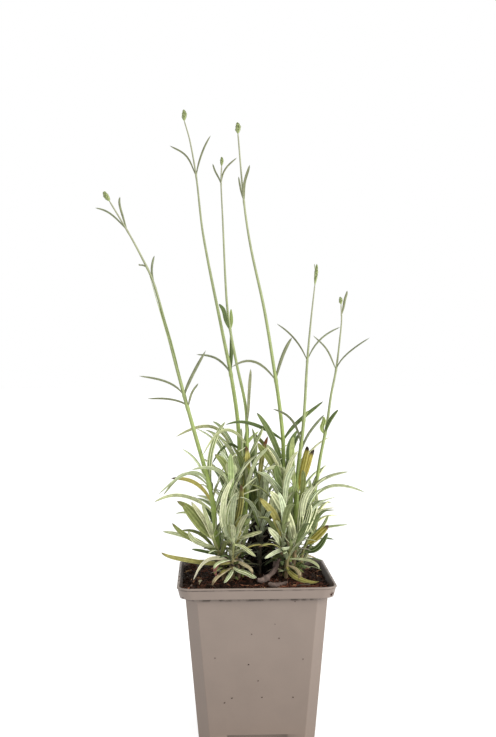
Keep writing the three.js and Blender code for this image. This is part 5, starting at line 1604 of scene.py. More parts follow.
class PotSkin:
    """The pot's closed skin, ring by ring from under its foot, over the rim and down to its inner floor."""

    corner_steps: int = 14
    fillet: float = 0.9
    soft: float = 0.3
    flat_end: float = 1.5
    colour: Color = linear("7c6f66")
    soil: str = "3d3129"

    def outline(self, ring: PotRing) -> Array:
        """One ring: four sides with a notch each, and four corners cut straight or rounded.

        Args:
            ring: The ring's sizes.

        Returns:
            Points anticlockwise from above.
        """
        theta = np.radians(np.linspace(0, 90, self.corner_steps))
        way = np.stack([np.cos(theta), np.sin(theta)], -1)
        half, c = ring.half, ring.corner
        is_low = (theta <= math.pi / 4)[:, None]
        slant = math.sqrt(0.5)
        meet = np.where(is_low, [half, half - c], [half - c, half])
        normals = np.where(is_low, [1 + slant, slant], [slant, 1 + slant]) / (1 + slant)
        cut = meet - self.fillet * normals + self.fillet * way
        corner = mix(cut, half - c + c * way, ring.round)
        edge, soft = ring.dent_half, self.soft
        reach = half - c - self.flat_end
        stops = [-reach, -edge - soft, -edge + soft, -edge / 2, 0, edge / 2, edge - soft, edge + soft, reach]
        inward = np.where(np.abs(stops) < edge, ring.dent, 0)
        return four_times(np.concatenate([np.stack([half - inward, stops], -1), corner]))

    def outer_rings(self) -> list[PotRing]:
        """The outer side, up to the rim's top, with a small round wherever two faces meet."""
        p = POT
        e = p.edge
        shelf = p.height - p.band_height
        lip = p.height - p.lip_height
        top = p.rim_half - p.lip_out
        notch = p.notch_height
        dents = [(0, e, 1), (0.15 * e, 0.3 * e, 1), (0.6 * e, 0.05, 1)]
        dents += [(notch - self.soft, 0, 1), (notch, 0, 0.94), (notch, 0, 0.06)]
        dents += [(z, 0, 0) for z in (notch + self.soft, 12, 30, 50, 70, 80, shelf - e)]
        body = [
            PotRing(z, p.body_half(z) - inset, p.chamfer, 0, share * p.notch_depth)
            for z, inset, share in dents
        ]
        foot = [
            PotRing(shelf - 0.15 * e, p.body_top_half + 0.3 * e, p.chamfer, 0.05),
            PotRing(shelf, p.body_top_half + e, p.chamfer, 0.1),
        ]
        band = (
            (shelf, p.band_foot_half - e),
            (shelf + 0.25 * e, p.band_foot_half - 0.25 * e),
            (shelf + e, p.band_foot_half),
            (mix(shelf, lip, 0.5), mix(p.band_foot_half, top, 0.5)),
            (lip - 0.25, top - 0.02),
            (lip - 0.05, top - 0.12),
            (lip + 0.1, top - 0.05),
            (lip + 0.22, p.rim_half - 0.15),
            (lip + 0.4, p.rim_half),
            (p.height - 0.4, p.rim_half),
            (p.height - 0.12, p.rim_half - 0.12),
            (p.height, p.rim_half - 0.4),
        )
        return body + foot + [PotRing(z, half, p.rim_corner, 1) for z, half in band]

    def inner_rings(self) -> list[PotRing]:
        """The inner side, from the rim's top down to the floor."""
        p = POT
        shelf = p.height - p.band_height + p.shelf
        rim = p.rim_half - p.wall
        foot = p.band_foot_half - p.wall
        mouth = (
            (p.height, rim + 0.35),
            (p.height - 0.12, rim + 0.1),
            (p.height - 0.4, rim),
            (shelf + 0.3, foot),
            (shelf, foot - 0.3),
        )
        notch = p.notch_height + p.wall
        floor_edge = 0.3
        dents = ((shelf, 0), (40, 0), (notch + self.soft, 0), (notch, 0.06), (notch, 0.94))
        dents += ((notch - self.soft, 1), (p.floor + floor_edge, 1), (p.floor, 1))
        body = []
        for z, share in dents:
            half = p.body_half(z) - p.wall - (0.4 if z == p.floor else 0)
            dent_half = 0.5 * p.notch_width + p.wall
            body.append(PotRing(z, half, p.inner_chamfer, 0, share * p.notch_depth, dent_half, True))
        return [PotRing(z, half, p.inner_corner, 1, inside=True) for z, half in mouth] + body

    def build(self, material: Material) -> Piece:
        """The pot as one piece, with its drain holes cut and flat faces that stay flat."""
        rings = self.outer_rings() + self.inner_rings()
        outlines = [self.outline(ring) for ring in rings]
        grid = np.array(
            [np.column_stack([flat, np.full(len(flat), ring.z)]) for flat, ring in zip(outlines, rings)]
        )
        # The inner rings carry the soil stain, which also paints shade on the inner wall.
        stain_and_shade = np.array([linear(self.soil, float(ring.inside)) for ring in rings])[:, None]
        pot = Surface().add(grid[None], self.colour, tip=stain_and_shade).build("pot_shell", material)
        for x in (-POT.drain_reach, POT.drain_reach):
            for y in (-POT.drain_reach, POT.drain_reach):
                bpy.ops.mesh.primitive_cylinder_add(
                    vertices=40, radius=POT.drain_radius * MM, depth=8 * MM, location=(x * MM, y * MM, 0)
                )
                drill = bpy.context.object
                use_modifier(pot, "BOOLEAN", object=drill, operation="DIFFERENCE", solver="EXACT")
                bpy.data.objects.remove(drill)
        use_modifier(pot, "WEIGHTED_NORMAL", keep_sharp=True, weight=50)
        return pot


def use_modifier(piece: Piece, kind: str, **settings: object) -> None:
    """Adds a modifier to a piece and applies it."""
    modifier = piece.modifiers.new(kind, kind)
    for key, value in settings.items():
        setattr(modifier, key, value)
    with bpy.context.temp_override(object=piece, active_object=piece, selected_objects=[piece]):
        bpy.ops.object.modifier_apply(modifier=modifier.name)


@dataclass(frozen=True)
class CompostForm:
    """The compost: how fine its grid is, its lumps as (size, height) pairs in mm, and what lies on it.

    crumb_size and fibre_length hold the shape and scale of the draw that is added to the least size.
    """

    cells: int = 210
    lumps: tuple[Pair, ...] = ((7, 0.8), (3.1, 0.65), (1.5, 0.42), (0.8, 0.16))
    dark: Color = linear("170e09")
    brown: Color = linear("2f1e14")
    peat: Color = linear("42281b")
    fibre: Color = linear("7e4a36")
    wood: Color = linear("a08460")
    stone: Color = linear("574e46")
    rim_gap: float = 0.4
    foot_gap: float = 0.6
    wall_gap: float = 0.2
    shelf_gap: float = 0.3
    reach: float = 41.5
    lying_reach: float = 40
    line_reach: float = 42.4
    crumbs: int = 1300
    crumb_size: Pair = (3, 0.16)
    crumb_least: float = 0.22
    sunk: float = 0.15
    stone_size: Pair = (0.5, 0.9)
    stone_rise: float = 0.3
    fibre_length: Pair = (4, 1.4)
    fibre_least: float = 2
    fibre_half: Pair = (0.06, 0.16)
    chip_length: Pair = (1.6, 5.5)
    chip_half: Pair = (0.25, 0.55)
    fibres: int = 420
    near_fibres: int = 168
    near_at: Pair = (27, -29)
    near_spread: Pair = (11, 7)
    near_reach: float = 41
    chips: int = 46
    stones: int = 14
    seed: int = 5


DIRT = CompostForm()


def soil_top(x: Array, y: Array) -> Array:
    """Height of the compost with its lumps."""
    points = np.stack([x, y, 0 * x], -1)
    height = SOIL.height(x, y)
    for i, (size, tall) in enumerate(DIRT.lumps):
        height = height + tall * lattice_noise(points, size, 40 + i)
    return height


def blended(first: Color, second: Color, share: Array) -> Array:
    """Colours from the first to the second, as share goes from 0 to 1."""
    return mix(np.array(first), np.array(second), share)


def make_compost() -> Surface:
    """The filling: a lumpy top that reaches the pot's inner wall, and plain sides and foot.

    The top's square grid is pushed into the rounded square by the ratio of their distances from the middle.

    Returns:
        Its surface.
    """
    reach = POT.rim_half - POT.wall - DIRT.rim_gap
    steps = np.arange(DIRT.cells) / DIRT.cells * 2 - 1
    square = four_times(np.stack([1 + 0 * steps, steps], -1))
    direction = unit(square)
    big, small = np.abs(direction).max(-1), np.abs(direction).min(-1)
    centre = reach - POT.inner_corner
    along = centre * (big + small)
    arc = along + np.sqrt(np.maximum(POT.inner_corner**2 - (2 * centre**2 - along**2), 0))
    rim = direction * np.where(small / big * reach <= centre, reach / big, arc)[:, None]
    shelf = POT.height - POT.band_height + POT.shelf
    below = POT.notch_height + POT.wall
    rings = []
    for z, level, inset in (
        (POT.floor + 0.3, POT.floor, POT.notch_depth + DIRT.foot_gap),
        (below, below, POT.notch_depth + DIRT.foot_gap),
        (below + 0.2, below, DIRT.wall_gap),
        (shelf + 0.1, shelf, DIRT.wall_gap),
    ):
        half = POT.body_half(level) - POT.wall - inset
        cut = np.minimum(half / big, (2 * half - POT.chamfer) / (big + small))
        rings.append(np.column_stack([direction * cut[:, None], np.full(len(rim), z)]))
    narrow = rim * (POT.band_foot_half - POT.wall - DIRT.shelf_gap) / reach
    rings.append(np.column_stack([narrow, np.full(len(rim), shelf + DIRT.shelf_gap)]))
    for level in even(DIRT.cells // 2 + 1)[:0:-1]:
        flat = mix(square * reach * level, rim * level, level**3)
        rings.append(np.column_stack([flat, soil_top(flat[:, 0], flat[:, 1])]))
    grid = np.array(rings)
    patch, speck, speck_share = 9, 2.5, 0.6
    wet = lattice_noise(grid, patch, 60) + speck_share * lattice_noise(grid, speck, 61)
    tint = blended(DIRT.dark, DIRT.brown, smooth(0.5 + 0.5 * wet)[..., None])
    return Surface().add(grid[None], tint[None])


def scattered(count: int, random: Random, reach: float = DIRT.reach) -> Array:
    """Random places in the pot's mouth."""
    return random.uniform(-reach, reach, (count, 2))


def add_lumps(surface: Surface, at: Array, size: Array, colour: Array, random: Random) -> None:
    """Adds rough lumps, each a few rings of points pushed in and out at random.

    Args:
        surface: What they are added to.
        at: Their middles.
        size: Their radii.
        colour: Their colours.
        random: Draws their shapes.
    """
    rings, sides = 5, 6
    dents, stretch = (0.62, 1.25), (0.6, 1.3)
    polar = (np.linspace(0.12, 0.88, rings) * math.pi)[:, None]
    angle = 2 * math.pi * np.arange(sides) / sides
    wide = np.sin(polar)
    ball = np.stack([wide * np.cos(angle), wide * np.sin(angle), -np.cos(polar) + 0 * angle], -1)
    count = len(size)
    shape = ball[None] * random.uniform(*dents, (count, rings, sides, 1))
    shape = shape * random.uniform(*stretch, (count, 1, 1, 3))
    axis = unit(random.normal(0, 1, (count, 1, 1, 3))) + 0 * shape
    shape = turned(shape, axis, random.uniform(0, math.pi, (count, 1, 1)) + 0 * shape[..., 0])
    grid = at[:, None, None] + shape * size[:, None, None, None]
    surface.add(grid, colour[:, None, None])


def make_crumbs() -> Surface:
    """Loose crumbs of peat and a few small stones, half sunk in the compost."""
    random = np.random.default_rng(DIRT.seed)
    surface = Surface()
    at = scattered(DIRT.crumbs, random)
    size = random.gamma(*DIRT.crumb_size, DIRT.crumbs) + DIRT.crumb_least
    height = soil_top(at[:, 0], at[:, 1]) + DIRT.sunk * size
    colour = blended(DIRT.dark, DIRT.peat, random.beta(1.4, 2.6, (DIRT.crumbs, 1)))
    add_lumps(surface, np.column_stack([at, height]), size, colour, random)
    at = scattered(DIRT.stones, random)
    size = random.uniform(*DIRT.stone_size, DIRT.stones)
    colour = np.array(DIRT.stone) * random.uniform(0.7, 1.2, (DIRT.stones, 1))
    height = soil_top(at[:, 0], at[:, 1]) + DIRT.stone_rise
    add_lumps(surface, np.column_stack([at, height]), size, colour, random)
    return surface


def lying_lines(at: Array, length: Array, random: Random, rings: int, bend: float, lift: float) -> Array:
    """Bent lines that lie on the compost.

    Args:
        at: Their middles, in plan.
        length: Their lengths.
        random: Draws their directions and bends.
        rings: Points on each.
        bend: How far they bow, as a share of their length.
        lift: How high their middles arch.

    Returns:
        Points, as lines x rings x 3.
    """
    count = len(at)
    wave, waves, sunk, clear = 0.06, 9, 0.1, 0.12
    share = np.linspace(-0.5, 0.5, rings)
    hump = 1 - 4 * share**2
    turn = random.uniform(0, 2 * math.pi, (count, 1))
    ahead = np.stack([np.cos(turn), np.sin(turn)], -1)
    aside = np.stack([-np.sin(turn), np.cos(turn)], -1)
    bow = bend * random.normal(0, 1, (count, 1)) * hump + wave * np.sin(waves * share + turn)
    flat = at[:, None] + (ahead * share[None, :, None] + aside * bow[..., None]) * length[:, None, None]
    flat = np.clip(flat, -DIRT.line_reach, DIRT.line_reach)
    height = soil_top(flat[..., 0], flat[..., 1])
    arch = lift * random.uniform(0, 1, (count, 1)) * hump
    eased = 0.5 * height + 0.5 * height.mean(-1, keepdims=True)
    return np.concatenate([flat, (np.maximum(eased, height - sunk) + arch + clear)[..., None]], -1)


def make_fibres() -> Surface:
    """Coir fibres in the compost, more of them at the right and the front."""
    random = np.random.default_rng(DIRT.seed + 1)
    rings, sides = 9, 4
    at = scattered(DIRT.fibres, random, DIRT.lying_reach)
    near = random.normal(0, 1, (DIRT.near_fibres, 2)) * DIRT.near_spread + DIRT.near_at
    at[: DIRT.near_fibres] = np.clip(near, -DIRT.near_reach, DIRT.near_reach)
    length = random.gamma(*DIRT.fibre_length, DIRT.fibres) + DIRT.fibre_least
    lines = lying_lines(at, length, random, rings, 0.16, 1.6)
    radius = random.uniform(*DIRT.fibre_half, (DIRT.fibres, 1)) * np.linspace(1, 0.7, rings)
    tint = blended(DIRT.peat, DIRT.fibre, random.uniform(0, 1, (DIRT.fibres, 1, 1, 1)))
    return Surface().add(ringed(lines, radius, sides, UP), tint)


def make_chips() -> Surface:
    """Splinters of pale wood in the compost."""
    random = np.random.default_rng(DIRT.seed + 2)
    profile, sides = np.array([0.5, 0.95, 1, 0.9, 0.4]), 6
    rings = len(profile)
    at = scattered(DIRT.chips, random, DIRT.lying_reach)
    lines = lying_lines(at, random.uniform(*DIRT.chip_length, DIRT.chips), random, rings, 0.05, 0.4)
    grid = ringed(lines, random.uniform(*DIRT.chip_half, (DIRT.chips, 1)) * profile, sides, UP)
    middle = grid.mean(2, keepdims=True)
    grid = middle + (grid - middle) * random.uniform(0.7, 1.2, (DIRT.chips, rings, sides, 1))
    tint = blended(DIRT.fibre, DIRT.wood, random.uniform(0, 1, (DIRT.chips, 1, 1, 1)))
    return Surface().add(grid, tint, along_uv=0.5 * even(rings))


@dataclass(frozen=True)
class BarkLooks:
    """The old wood: its colours, its knots, its old stems and the twigs, with sizes in mm.

    Knots, swellings, wrinkles and wander are pairs of a pattern's size and its height or share. slim is what
    a stem or spur loses of its thickness up to its end, and twig_end how thick an end starts and how fast it
    fills.
    """

    dark: Color = linear("201711")
    brown: Color = linear("3f3025")
    twig_foot: Color = linear("6a5c55")
    twig_tip: Color = linear("51433d")
    knots: tuple[Pair, ...] = ((4, 0.55), (1.7, 0.4), (0.8, 0.2))
    twig_knots: tuple[Pair, ...] = ((2.4, 0.5), (0.9, 0.45), (0.4, 0.2))
    rings: int = 40
    sides: int = 54
    stems: int = 9
    stem_rings: int = 26
    stem_sides: int = 12
    stem_tops: Pair = (108, 122)
    stem_half: Pair = (1, 1.7)
    stem_below: float = 3
    stem_spread: float = 0.2
    stem_swirl: float = 0.8
    stem_slim: float = 0.55
    stem_end: float = 0.5
    wander: Pair = (5, 0.7)
    swelling: Pair = (2.2, 0.25)
    wrinkles: Pair = (0.7, 0.12)
    shrink: float = 0.9
    three_lobes: float = 0.1
    three_turn: float = 2.1
    five_lobes: float = 0.08
    twig_rings: int = 60
    twig_sides: int = 24
    twig_full: float = 1.45
    twig_slim: float = 0.42
    twig_swelling: Pair = (1.8, 0.2)
    twig_end: Pair = (0.4, 5)
    streak: float = 0.4
    spur_way: Pair = (-0.5, 0.9)
    spur_spread: float = 0.15
    spur_rise: float = 0.4
    spur_half: float = 0.42
    spur_slim: float = 0.5
    spur_rings: int = 8
    spur_sides: int = 8


BARK = BarkLooks()


def make_heart(plan: StemPlan) -> Surface:
    """The knotty old wood: a lumpy core, and gnarled old stems that grow up round it.

    The core's rings swell to three eighths of its height and wave round, as in the frame, with finer knots.

    Args:
        plan: The plan of the stem that carries it.

    Returns:
        Its surface.
    """
    random = np.random.default_rng(9)
    x, y = plan.foot
    share = even(BARK.rings)[:, None]
    angle = 2 * math.pi * np.arange(BARK.sides) / BARK.sides
    swell = np.sqrt(1 - 0.9 * (1.6 * share - 0.6) ** 2)
    row = 6 * share
    knot = 1 + BARK.three_lobes * np.sin(3 * angle + BARK.three_turn * row)
    radius = BARK.shrink * swell * (knot + BARK.five_lobes * np.sin(5 * angle - row))
    core = np.stack(
        [
            x + HEART.wide * radius * np.cos(angle),
            y + HEART.deep * radius * np.sin(angle),
            mix(HEART.low, HEART.high, share) + 0 * angle,
        ],
        -1,
    )
    away = unit(core - np.array([x, y, 100]))
    for i, (size, tall) in enumerate(BARK.knots):
        core = core + away * tall * lattice_noise(core, size, 70 + i)[..., None]
    surface = Surface()
    add_tube(surface, core[None], (BARK.dark, BARK.brown))
    rise = even(BARK.stem_rings)
    out = 0.75 + 0.35 * np.sin(math.pi * rise) - 0.3 * rise
    for i in range(BARK.stems):
        turn = 2 * math.pi * i / BARK.stems + random.normal(0, BARK.stem_spread)
        z = mix(SOIL.height(x, y) - BARK.stem_below, random.uniform(*BARK.stem_tops), rise)
        swirl = turn + BARK.stem_swirl * random.normal() * rise
        wide, deep = HEART.wide * out * np.cos(swirl), HEART.deep * out * np.sin(swirl)
        centre = np.stack([x + wide, y + deep, z], -1)
        size, reach = BARK.wander
        wander = [lattice_noise(centre, size, 80 + i), lattice_noise(centre, size, 95 + i), 0 * rise]
        centre = centre + reach * np.stack(wander, -1)
        size, part = BARK.swelling
        thick = random.uniform(*BARK.stem_half) * (1 - BARK.stem_slim * rise)
        thick = thick * (1 + part * lattice_noise(centre, size, 110 + i))
        thick[-1] *= BARK.stem_end
        size, tall = BARK.wrinkles
        grid = ringed(centre, thick, BARK.stem_sides, EAST)
        grid = grid + tall * lattice_noise(grid, size, 120)[..., None]
        add_tube(surface, grid, (BARK.dark, BARK.brown))
    return surface


@dataclass(frozen=True)
class TwigPlan:
    """A dead twig: its points as (x, y, height over the compost), its half thickness and its side spurs."""

    name: str
    points: tuple[Triple, ...]
    half: float
    spurs: tuple[Triple, ...]
    lift: float = 0.45


TWIGS = (
    TwigPlan(
        "twig_long",
        ((1, -17, 0.3), (6, -14, 1), (10.5, -11, 4), (14.2, -9, 11.5)),
        1.2,
        ((0.3, 2.4, -0.6), (0.62, 2.8, 0.8)),
    ),
    TwigPlan("twig_short", ((7, -24, 0), (13, -22.5, 0.3), (18.5, -19, 0.5)), 1, ((0.45, 2.2, 0.9),)),
)


def make_twig(plan: TwigPlan) -> Surface:
    """A broken twig with its bark and the stubs of its side shoots.

    Its line is the polynomial through its points, by their distance along it.

    Args:
        plan: Its line, thickness and stubs.

    Returns:
        Its surface.
    """
    random = np.random.default_rng(17 + len(plan.points))
    colours = (BARK.twig_foot, BARK.twig_tip)
    places = np.array(plan.points)
    places[:, 2] += SOIL.height(places[:, 0], places[:, 1]) + plan.half + plan.lift
    steps = np.append(0, np.cumsum(np.linalg.norm(np.diff(places, axis=0), axis=-1)))
    share = even(BARK.twig_rings)
    fits = [np.polyfit(steps / steps[-1], places[:, i], len(places) - 1) for i in range(3)]
    centre = np.stack([np.polyval(fit, share) for fit in fits], -1)
    size, swell = BARK.twig_swelling
    radius = BARK.twig_full * plan.half * (1 - BARK.twig_slim * share)
    radius = radius * (1 + swell * lattice_noise(centre, size, 130))
    least, fill = BARK.twig_end
    radius *= np.minimum(1, least + fill * np.minimum(share, 1 - share))
    grid = ringed(centre, radius, BARK.twig_sides, UP)
    away = unit(grid - centre[:, None])
    turn = 2 * math.pi * np.arange(BARK.twig_sides) / BARK.twig_sides + 0 * share[:, None]
    streaks = BARK.streak * steps[-1] * share[:, None] + 0 * turn
    ridges = np.stack([2 * np.cos(turn), 2 * np.sin(turn), streaks], -1)[None]
    for i, (size, tall) in enumerate(BARK.twig_knots):
        grid = grid + away * tall * lattice_noise(ridges, size, 131 + i)[..., None]
    surface = Surface()
    add_tube(surface, grid, colours)
    for at, length, lean in plan.spurs:
        start = np.array([np.interp(at, share, centre[:, i]) for i in range(3)])
        way = unit(np.array([lean, *BARK.spur_way]) + BARK.spur_spread * random.normal(0, 1, 3))
        rise = even(BARK.spur_rings)[:, None]
        spur = start + way * length * rise + UP * BARK.spur_rise * rise**2
        thick = BARK.spur_half * plan.half * (1 - BARK.spur_slim * rise[:, 0])
        add_tube(surface, ringed(spur, thick, BARK.spur_sides, EAST), colours)
    return surface


Scrap = tuple[float, float, float, float, float, float, Tone]
# Each scrap is (x, y, length, width, direction in degrees, arch, tone).
SCRAPS: tuple[Scrap, ...] = (
    (12, -31, 8, 2.2, 15, 0.8, DEAD),
    (27, -24, 9, 2.2, 200, 1.2, DEAD),
    (30, -18, 8, 2.0, 110, 1.0, DEAD),
    (-25, -24, 9, 2.2, -35, 1.2, DEAD),
    (-32, -8, 8, 2.0, 80, 1.0, STRAW),
    (8, 28, 10, 2.6, 20, 1.0, DEAD),
    (-20, 26, 9, 2.4, 140, 1.0, LITTER),
    (28, 22, 9, 2.6, -60, 1.2, STRAW),
    (18, -35, 5, 1.6, 50, 0.6, DEAD),
    (-9, -35, 5, 1.6, 120, 0.6, DEAD),
)


def make_scraps() -> Surface:
    """Dry leaves that have fallen on the compost, curled a little."""
    random = np.random.default_rng(23)
    blades = []
    lift, least, tilt = 0.5, 0.6, 25
    for x, y, length, width, direction, arch, tone in SCRAPS:
        way = np.array([math.cos(math.radians(direction)), math.sin(math.radians(direction))])
        ends = [np.array([x, y]) + sign * 0.5 * length * way for sign in (-1, 1)]
        low, high = (np.array([*end, soil_top(*end) + lift]) for end in ends)
        over = 0.5 * (low + high)
        over[2] = max(over[2], soil_top(over[0], over[1]) + least) + arch
        blades.append(Blades.one(low, over, high, width, tilt * random.normal(), tone))
    surface = Surface()
    add_blades(surface, Blades.joined(blades), HERO_FORM, random, 0.06)
    return surface


# Where crumbs of soil stick to the pot's front, as (x, z).
FRONT_SPECKS = (
    (9.9, 68.6), (-14.3, 26.1), (2.6, 26.4), (-3.2, 63), (12.2, 60.5), (21.1, 81.4), (0.4, 36), (-23.8, 49.5),
    (25.7, 48.2), (20.2, 26.2), (-18.5, 23.5), (-5, 45.5),
)


def make_specks() -> Surface:
    """Crumbs of soil on the pot's front and on its rim, touching the wall."""
    random = np.random.default_rng(29)
    big, small = (0.28, 0.5), (0.15, 0.4)
    count, reach, inset, lift = 26, 40, 0.75, 0.08
    x, z = np.array(FRONT_SPECKS).T
    front = np.column_stack([x, -POT.body_half(z) - 0.05, z])
    sizes = random.uniform(*big, len(front))
    order = np.arange(count)
    rim = random.uniform(-reach, reach, count)
    side = np.where(order % 2, 1, -1) * (POT.rim_half - inset)
    is_crossed = order < count // 2
    height = np.full(count, POT.height + lift)
    on_rim = np.column_stack([np.where(is_crossed, rim, side), np.where(is_crossed, side, rim), height])
    sizes = np.append(sizes, random.uniform(*small, count))
    surface = Surface()
    add_lumps(surface, np.concatenate([front, on_rim]), sizes, np.tile(DIRT.brown, (len(sizes), 1)), random)
    return surface


Socket = bpy.types.NodeSocket


class Graph:
    """A material's node tree, laid one node at a time."""

    def __init__(self, name: str) -> None:
        """Starts a material with an output and a Principled shader."""
        self.material = bpy.data.materials.new(name)
        self.material.use_nodes = True
        self.tree = self.material.node_tree
        self.tree.nodes.clear()
        self.shader = self.tree.nodes.new("ShaderNodeBsdfPrincipled")
        output = self.tree.nodes.new("ShaderNodeOutputMaterial")
        self.tree.links.new(self.shader.outputs[0], output.inputs["Surface"])

    def add(
        self, kind: str, inputs: dict[str | int, object], output: str | int = 0, **settings: object
    ) -> Socket:
        """Adds a node.

        Args:
            kind: The node's type, without its first word.
            inputs: Values or sockets for its inputs.
            output: Which of its outputs is wanted.
            settings: The node's own settings.

        Returns:
            The wanted output.
        """
        node = self.tree.nodes.new("ShaderNode" + kind)
        for key, value in settings.items():
            setattr(node, key, value)
        self.feed(node, inputs)
        return node.outputs[output]

    def feed(self, node: bpy.types.Node, inputs: dict[str | int, object]) -> None:
        """Links sockets to a node's inputs and sets its constant ones."""
        for key, value in inputs.items():
            if isinstance(value, Socket):
                self.tree.links.new(value, node.inputs[key])
            else:
                node.inputs[key].default_value = value

    def math(self, operation: str, *values: object, use_clamp: bool = False) -> Socket:
        """A sum on some values."""
        return self.add("Math", dict(enumerate(values)), operation=operation, use_clamp=use_clamp)

    def noise(self, place: Socket, scale: float, detail: float) -> Socket:
        """Noise from 0 to 1, with this many waves in a unit of the place."""
        return self.add("TexNoise", {"Vector": place, "Scale": scale, "Detail": detail})

    def ramp(self, value: Socket, *ends: float, curve: str = "LINEAR") -> Socket:
        """Carries a value from the range between the first two ends onto that between the others."""
        inputs = dict(zip(("Value", "From Min", "From Max", "To Min", "To Max"), (value, *ends)))
        return self.add("MapRange", inputs, interpolation_type=curve)

    def step(self, value: Socket, low: float, high: float) -> Socket:
        """A smooth step of a value from 0 at low to 1 at high."""
        return self.ramp(value, low, high, 0.0, 1.0, curve="SMOOTHSTEP")

    def painted(self, name: str) -> Socket:
        """One of the colours that a surface's points carry."""
        return self.add("Attribute", {}, output="Color", attribute_name=name)

    def mixed(self, factor: object, first: object, second: object, blend: str = "MIX") -> Socket:
        """The mix of two colours by a factor."""
        inputs = {0: factor, 6: first, 7: second}
        return self.add("Mix", inputs, output=2, data_type="RGBA", blend_type=blend)

    def finished(self, colour: Socket, mottle: Socket) -> Material:
        """The material, with its mottled colour."""
        self.feed(self.shader, {"Base Color": self.mixed(1.0, colour, mottle, "MULTIPLY")})
        return self.material


@dataclass(frozen=True)
class Skin:
    """What a finish gives the shader.

    That is its roughness, refraction, sheen, grain size and depth in mm, mottling, and the level of its
    reflection, which is lower than 0.5 where down or pores trap the light.
    """

    name: str
    roughness: float
    ior: float
    sheen: float
    grain: float
    relief: float
    mottle: float
    mottle_size: float
    rough_range: float = 0.08
    shine: float = 0.5


def surface_nodes(skin: Skin) -> tuple[Graph, Socket, Socket]:
    """Starts a finish: its noise in object space, its bump and its roughness.

    Args:
        skin: The finish's values.

    Returns:
        The graph, the mottling from 1 - mottle to 1 + mottle, and the fine noise.
    """
    graph = Graph(skin.name)
    place = graph.add("TexCoord", {}, output="Object")
    coarse = graph.noise(place, 1 / (skin.mottle_size * MM), 3.0)
    fine = graph.noise(place, 1 / (skin.grain * MM), 2.0)
    inner = (0.3, 0.7)
    mottle = graph.ramp(coarse, *inner, 1 - skin.mottle, 1 + skin.mottle)
    bump = graph.add("Bump", {"Height": fine, "Strength": 1.0, "Distance": skin.relief * MM})
    rough = graph.ramp(coarse, *inner, skin.roughness - skin.rough_range, skin.roughness + skin.rough_range)
    inputs = {"Normal": bump, "Roughness": rough, "IOR": skin.ior, "Specular IOR Level": skin.shine}
    graph.feed(graph.shader, {**inputs, "Sheen Weight": skin.sheen, "Sheen Roughness": 0.5})
    return graph, mottle, fine


@dataclass(frozen=True)
class LeafPattern:
    """A leaf's pattern, in shares of its width from the middle and of its length."""

    waver: float = 0.08
    rib: Pair = (0.14, 0.05)
    rib_light: float = 0.9
    margin: Pair = (0.25, 0.38)
    foot: Pair = (0.1, 0.0)
    foot_light: float = 0.5
    tip_waver: float = 0.12
    tip: Pair = (0.0, 0.1)


def leaf_finish(skin: Skin) -> Material:
    """Downy leaf: the tint between pale margins and a pale midrib, and a tip of its own colour.

    Args:
        skin: The finish's values.

    Returns:
        The material.
    """
    pattern = LeafPattern()
    graph, mottle, fine = surface_nodes(skin)
    uv = graph.add("UVMap", {}, uv_map="UVMap")
    across, along, _ = graph.add("SeparateXYZ", {0: uv}).node.outputs
    wave = graph.math("SUBTRACT", fine, 0.5)
    off = graph.math("ABSOLUTE", graph.math("SUBTRACT", across, 0.5))
    off = graph.math("MULTIPLY_ADD", wave, pattern.waver, off)
    rib = graph.math("MULTIPLY", graph.step(off, *pattern.rib), pattern.rib_light)
    pale = graph.math("MAXIMUM", rib, graph.step(off, *pattern.margin))
    foot = graph.step(along, *pattern.foot)
    pale = graph.math("MULTIPLY_ADD", foot, pattern.foot_light, pale, use_clamp=True)
    colour = graph.mixed(pale, graph.painted("tint"), graph.painted("margin"))
    tip = graph.painted("tip")
    late = graph.math("SUBTRACT", along, tip.node.outputs["Alpha"])
    late = graph.math("MULTIPLY_ADD", wave, pattern.tip_waver, late)
    colour = graph.mixed(graph.step(late, *pattern.tip), colour, tip)
    return graph.finished(colour, mottle)


def tinted_finish(skin: Skin, streaks: float = 0) -> Material:
    """A finish whose colour is the piece's tint, mottled, and with lighter streaks along it if it has any.

    Args:
        skin: The finish's values.
        streaks: How strong the streaks are.

    Returns:
        The material.
    """
    graph, mottle, _ = surface_nodes(skin)
    colour = graph.painted("tint")
    if streaks:
        uv = graph.add("UVMap", {}, uv_map="UVMap")
        long = graph.add("Mapping", {"Vector": uv, "Scale": (22, 1.2, 1)})
        amount = graph.ramp(graph.noise(long, 1.0, 2.0), 0.4, 0.65, 0.0, streaks)
        colour = graph.mixed(amount, colour, graph.painted("margin"))
    return graph.finished(colour, mottle)


@dataclass(frozen=True)
class PotStainsAndShade:
    """Where the pot is dirty, and where shade is painted on it: painted_shade darkens it below
    painted_shade_height. Heights are in metres.

    lines holds the soil and painted shade at the band's foot and at the lip, as (start, full, end, strength).
    wet is the edge of the inner stain of soil and painted shade, as a height times wet_scale plus the blotch.
    """

    blotch_scale: float = 240.0
    wet_scale: float = 160.0
    wet: Pair = (14.95, 14.6)
    blotch: Pair = (0.42, 0.6)
    lines: tuple[tuple[float, ...], ...] = ((0.0812, 0.0826, 0.0835, 1.0), (0.0883, 0.0887, 0.0892, 0.85))
    line_edge: float = 0.0002
    line_least: float = 0.25
    dust_height: float = 0.016
    dust_strength: float = 0.35
    dust: Color = linear("7d6a5c")
    painted_shade_height: float = 0.085
    painted_shade: Color = (0.86, 0.83, 0.8, 1)


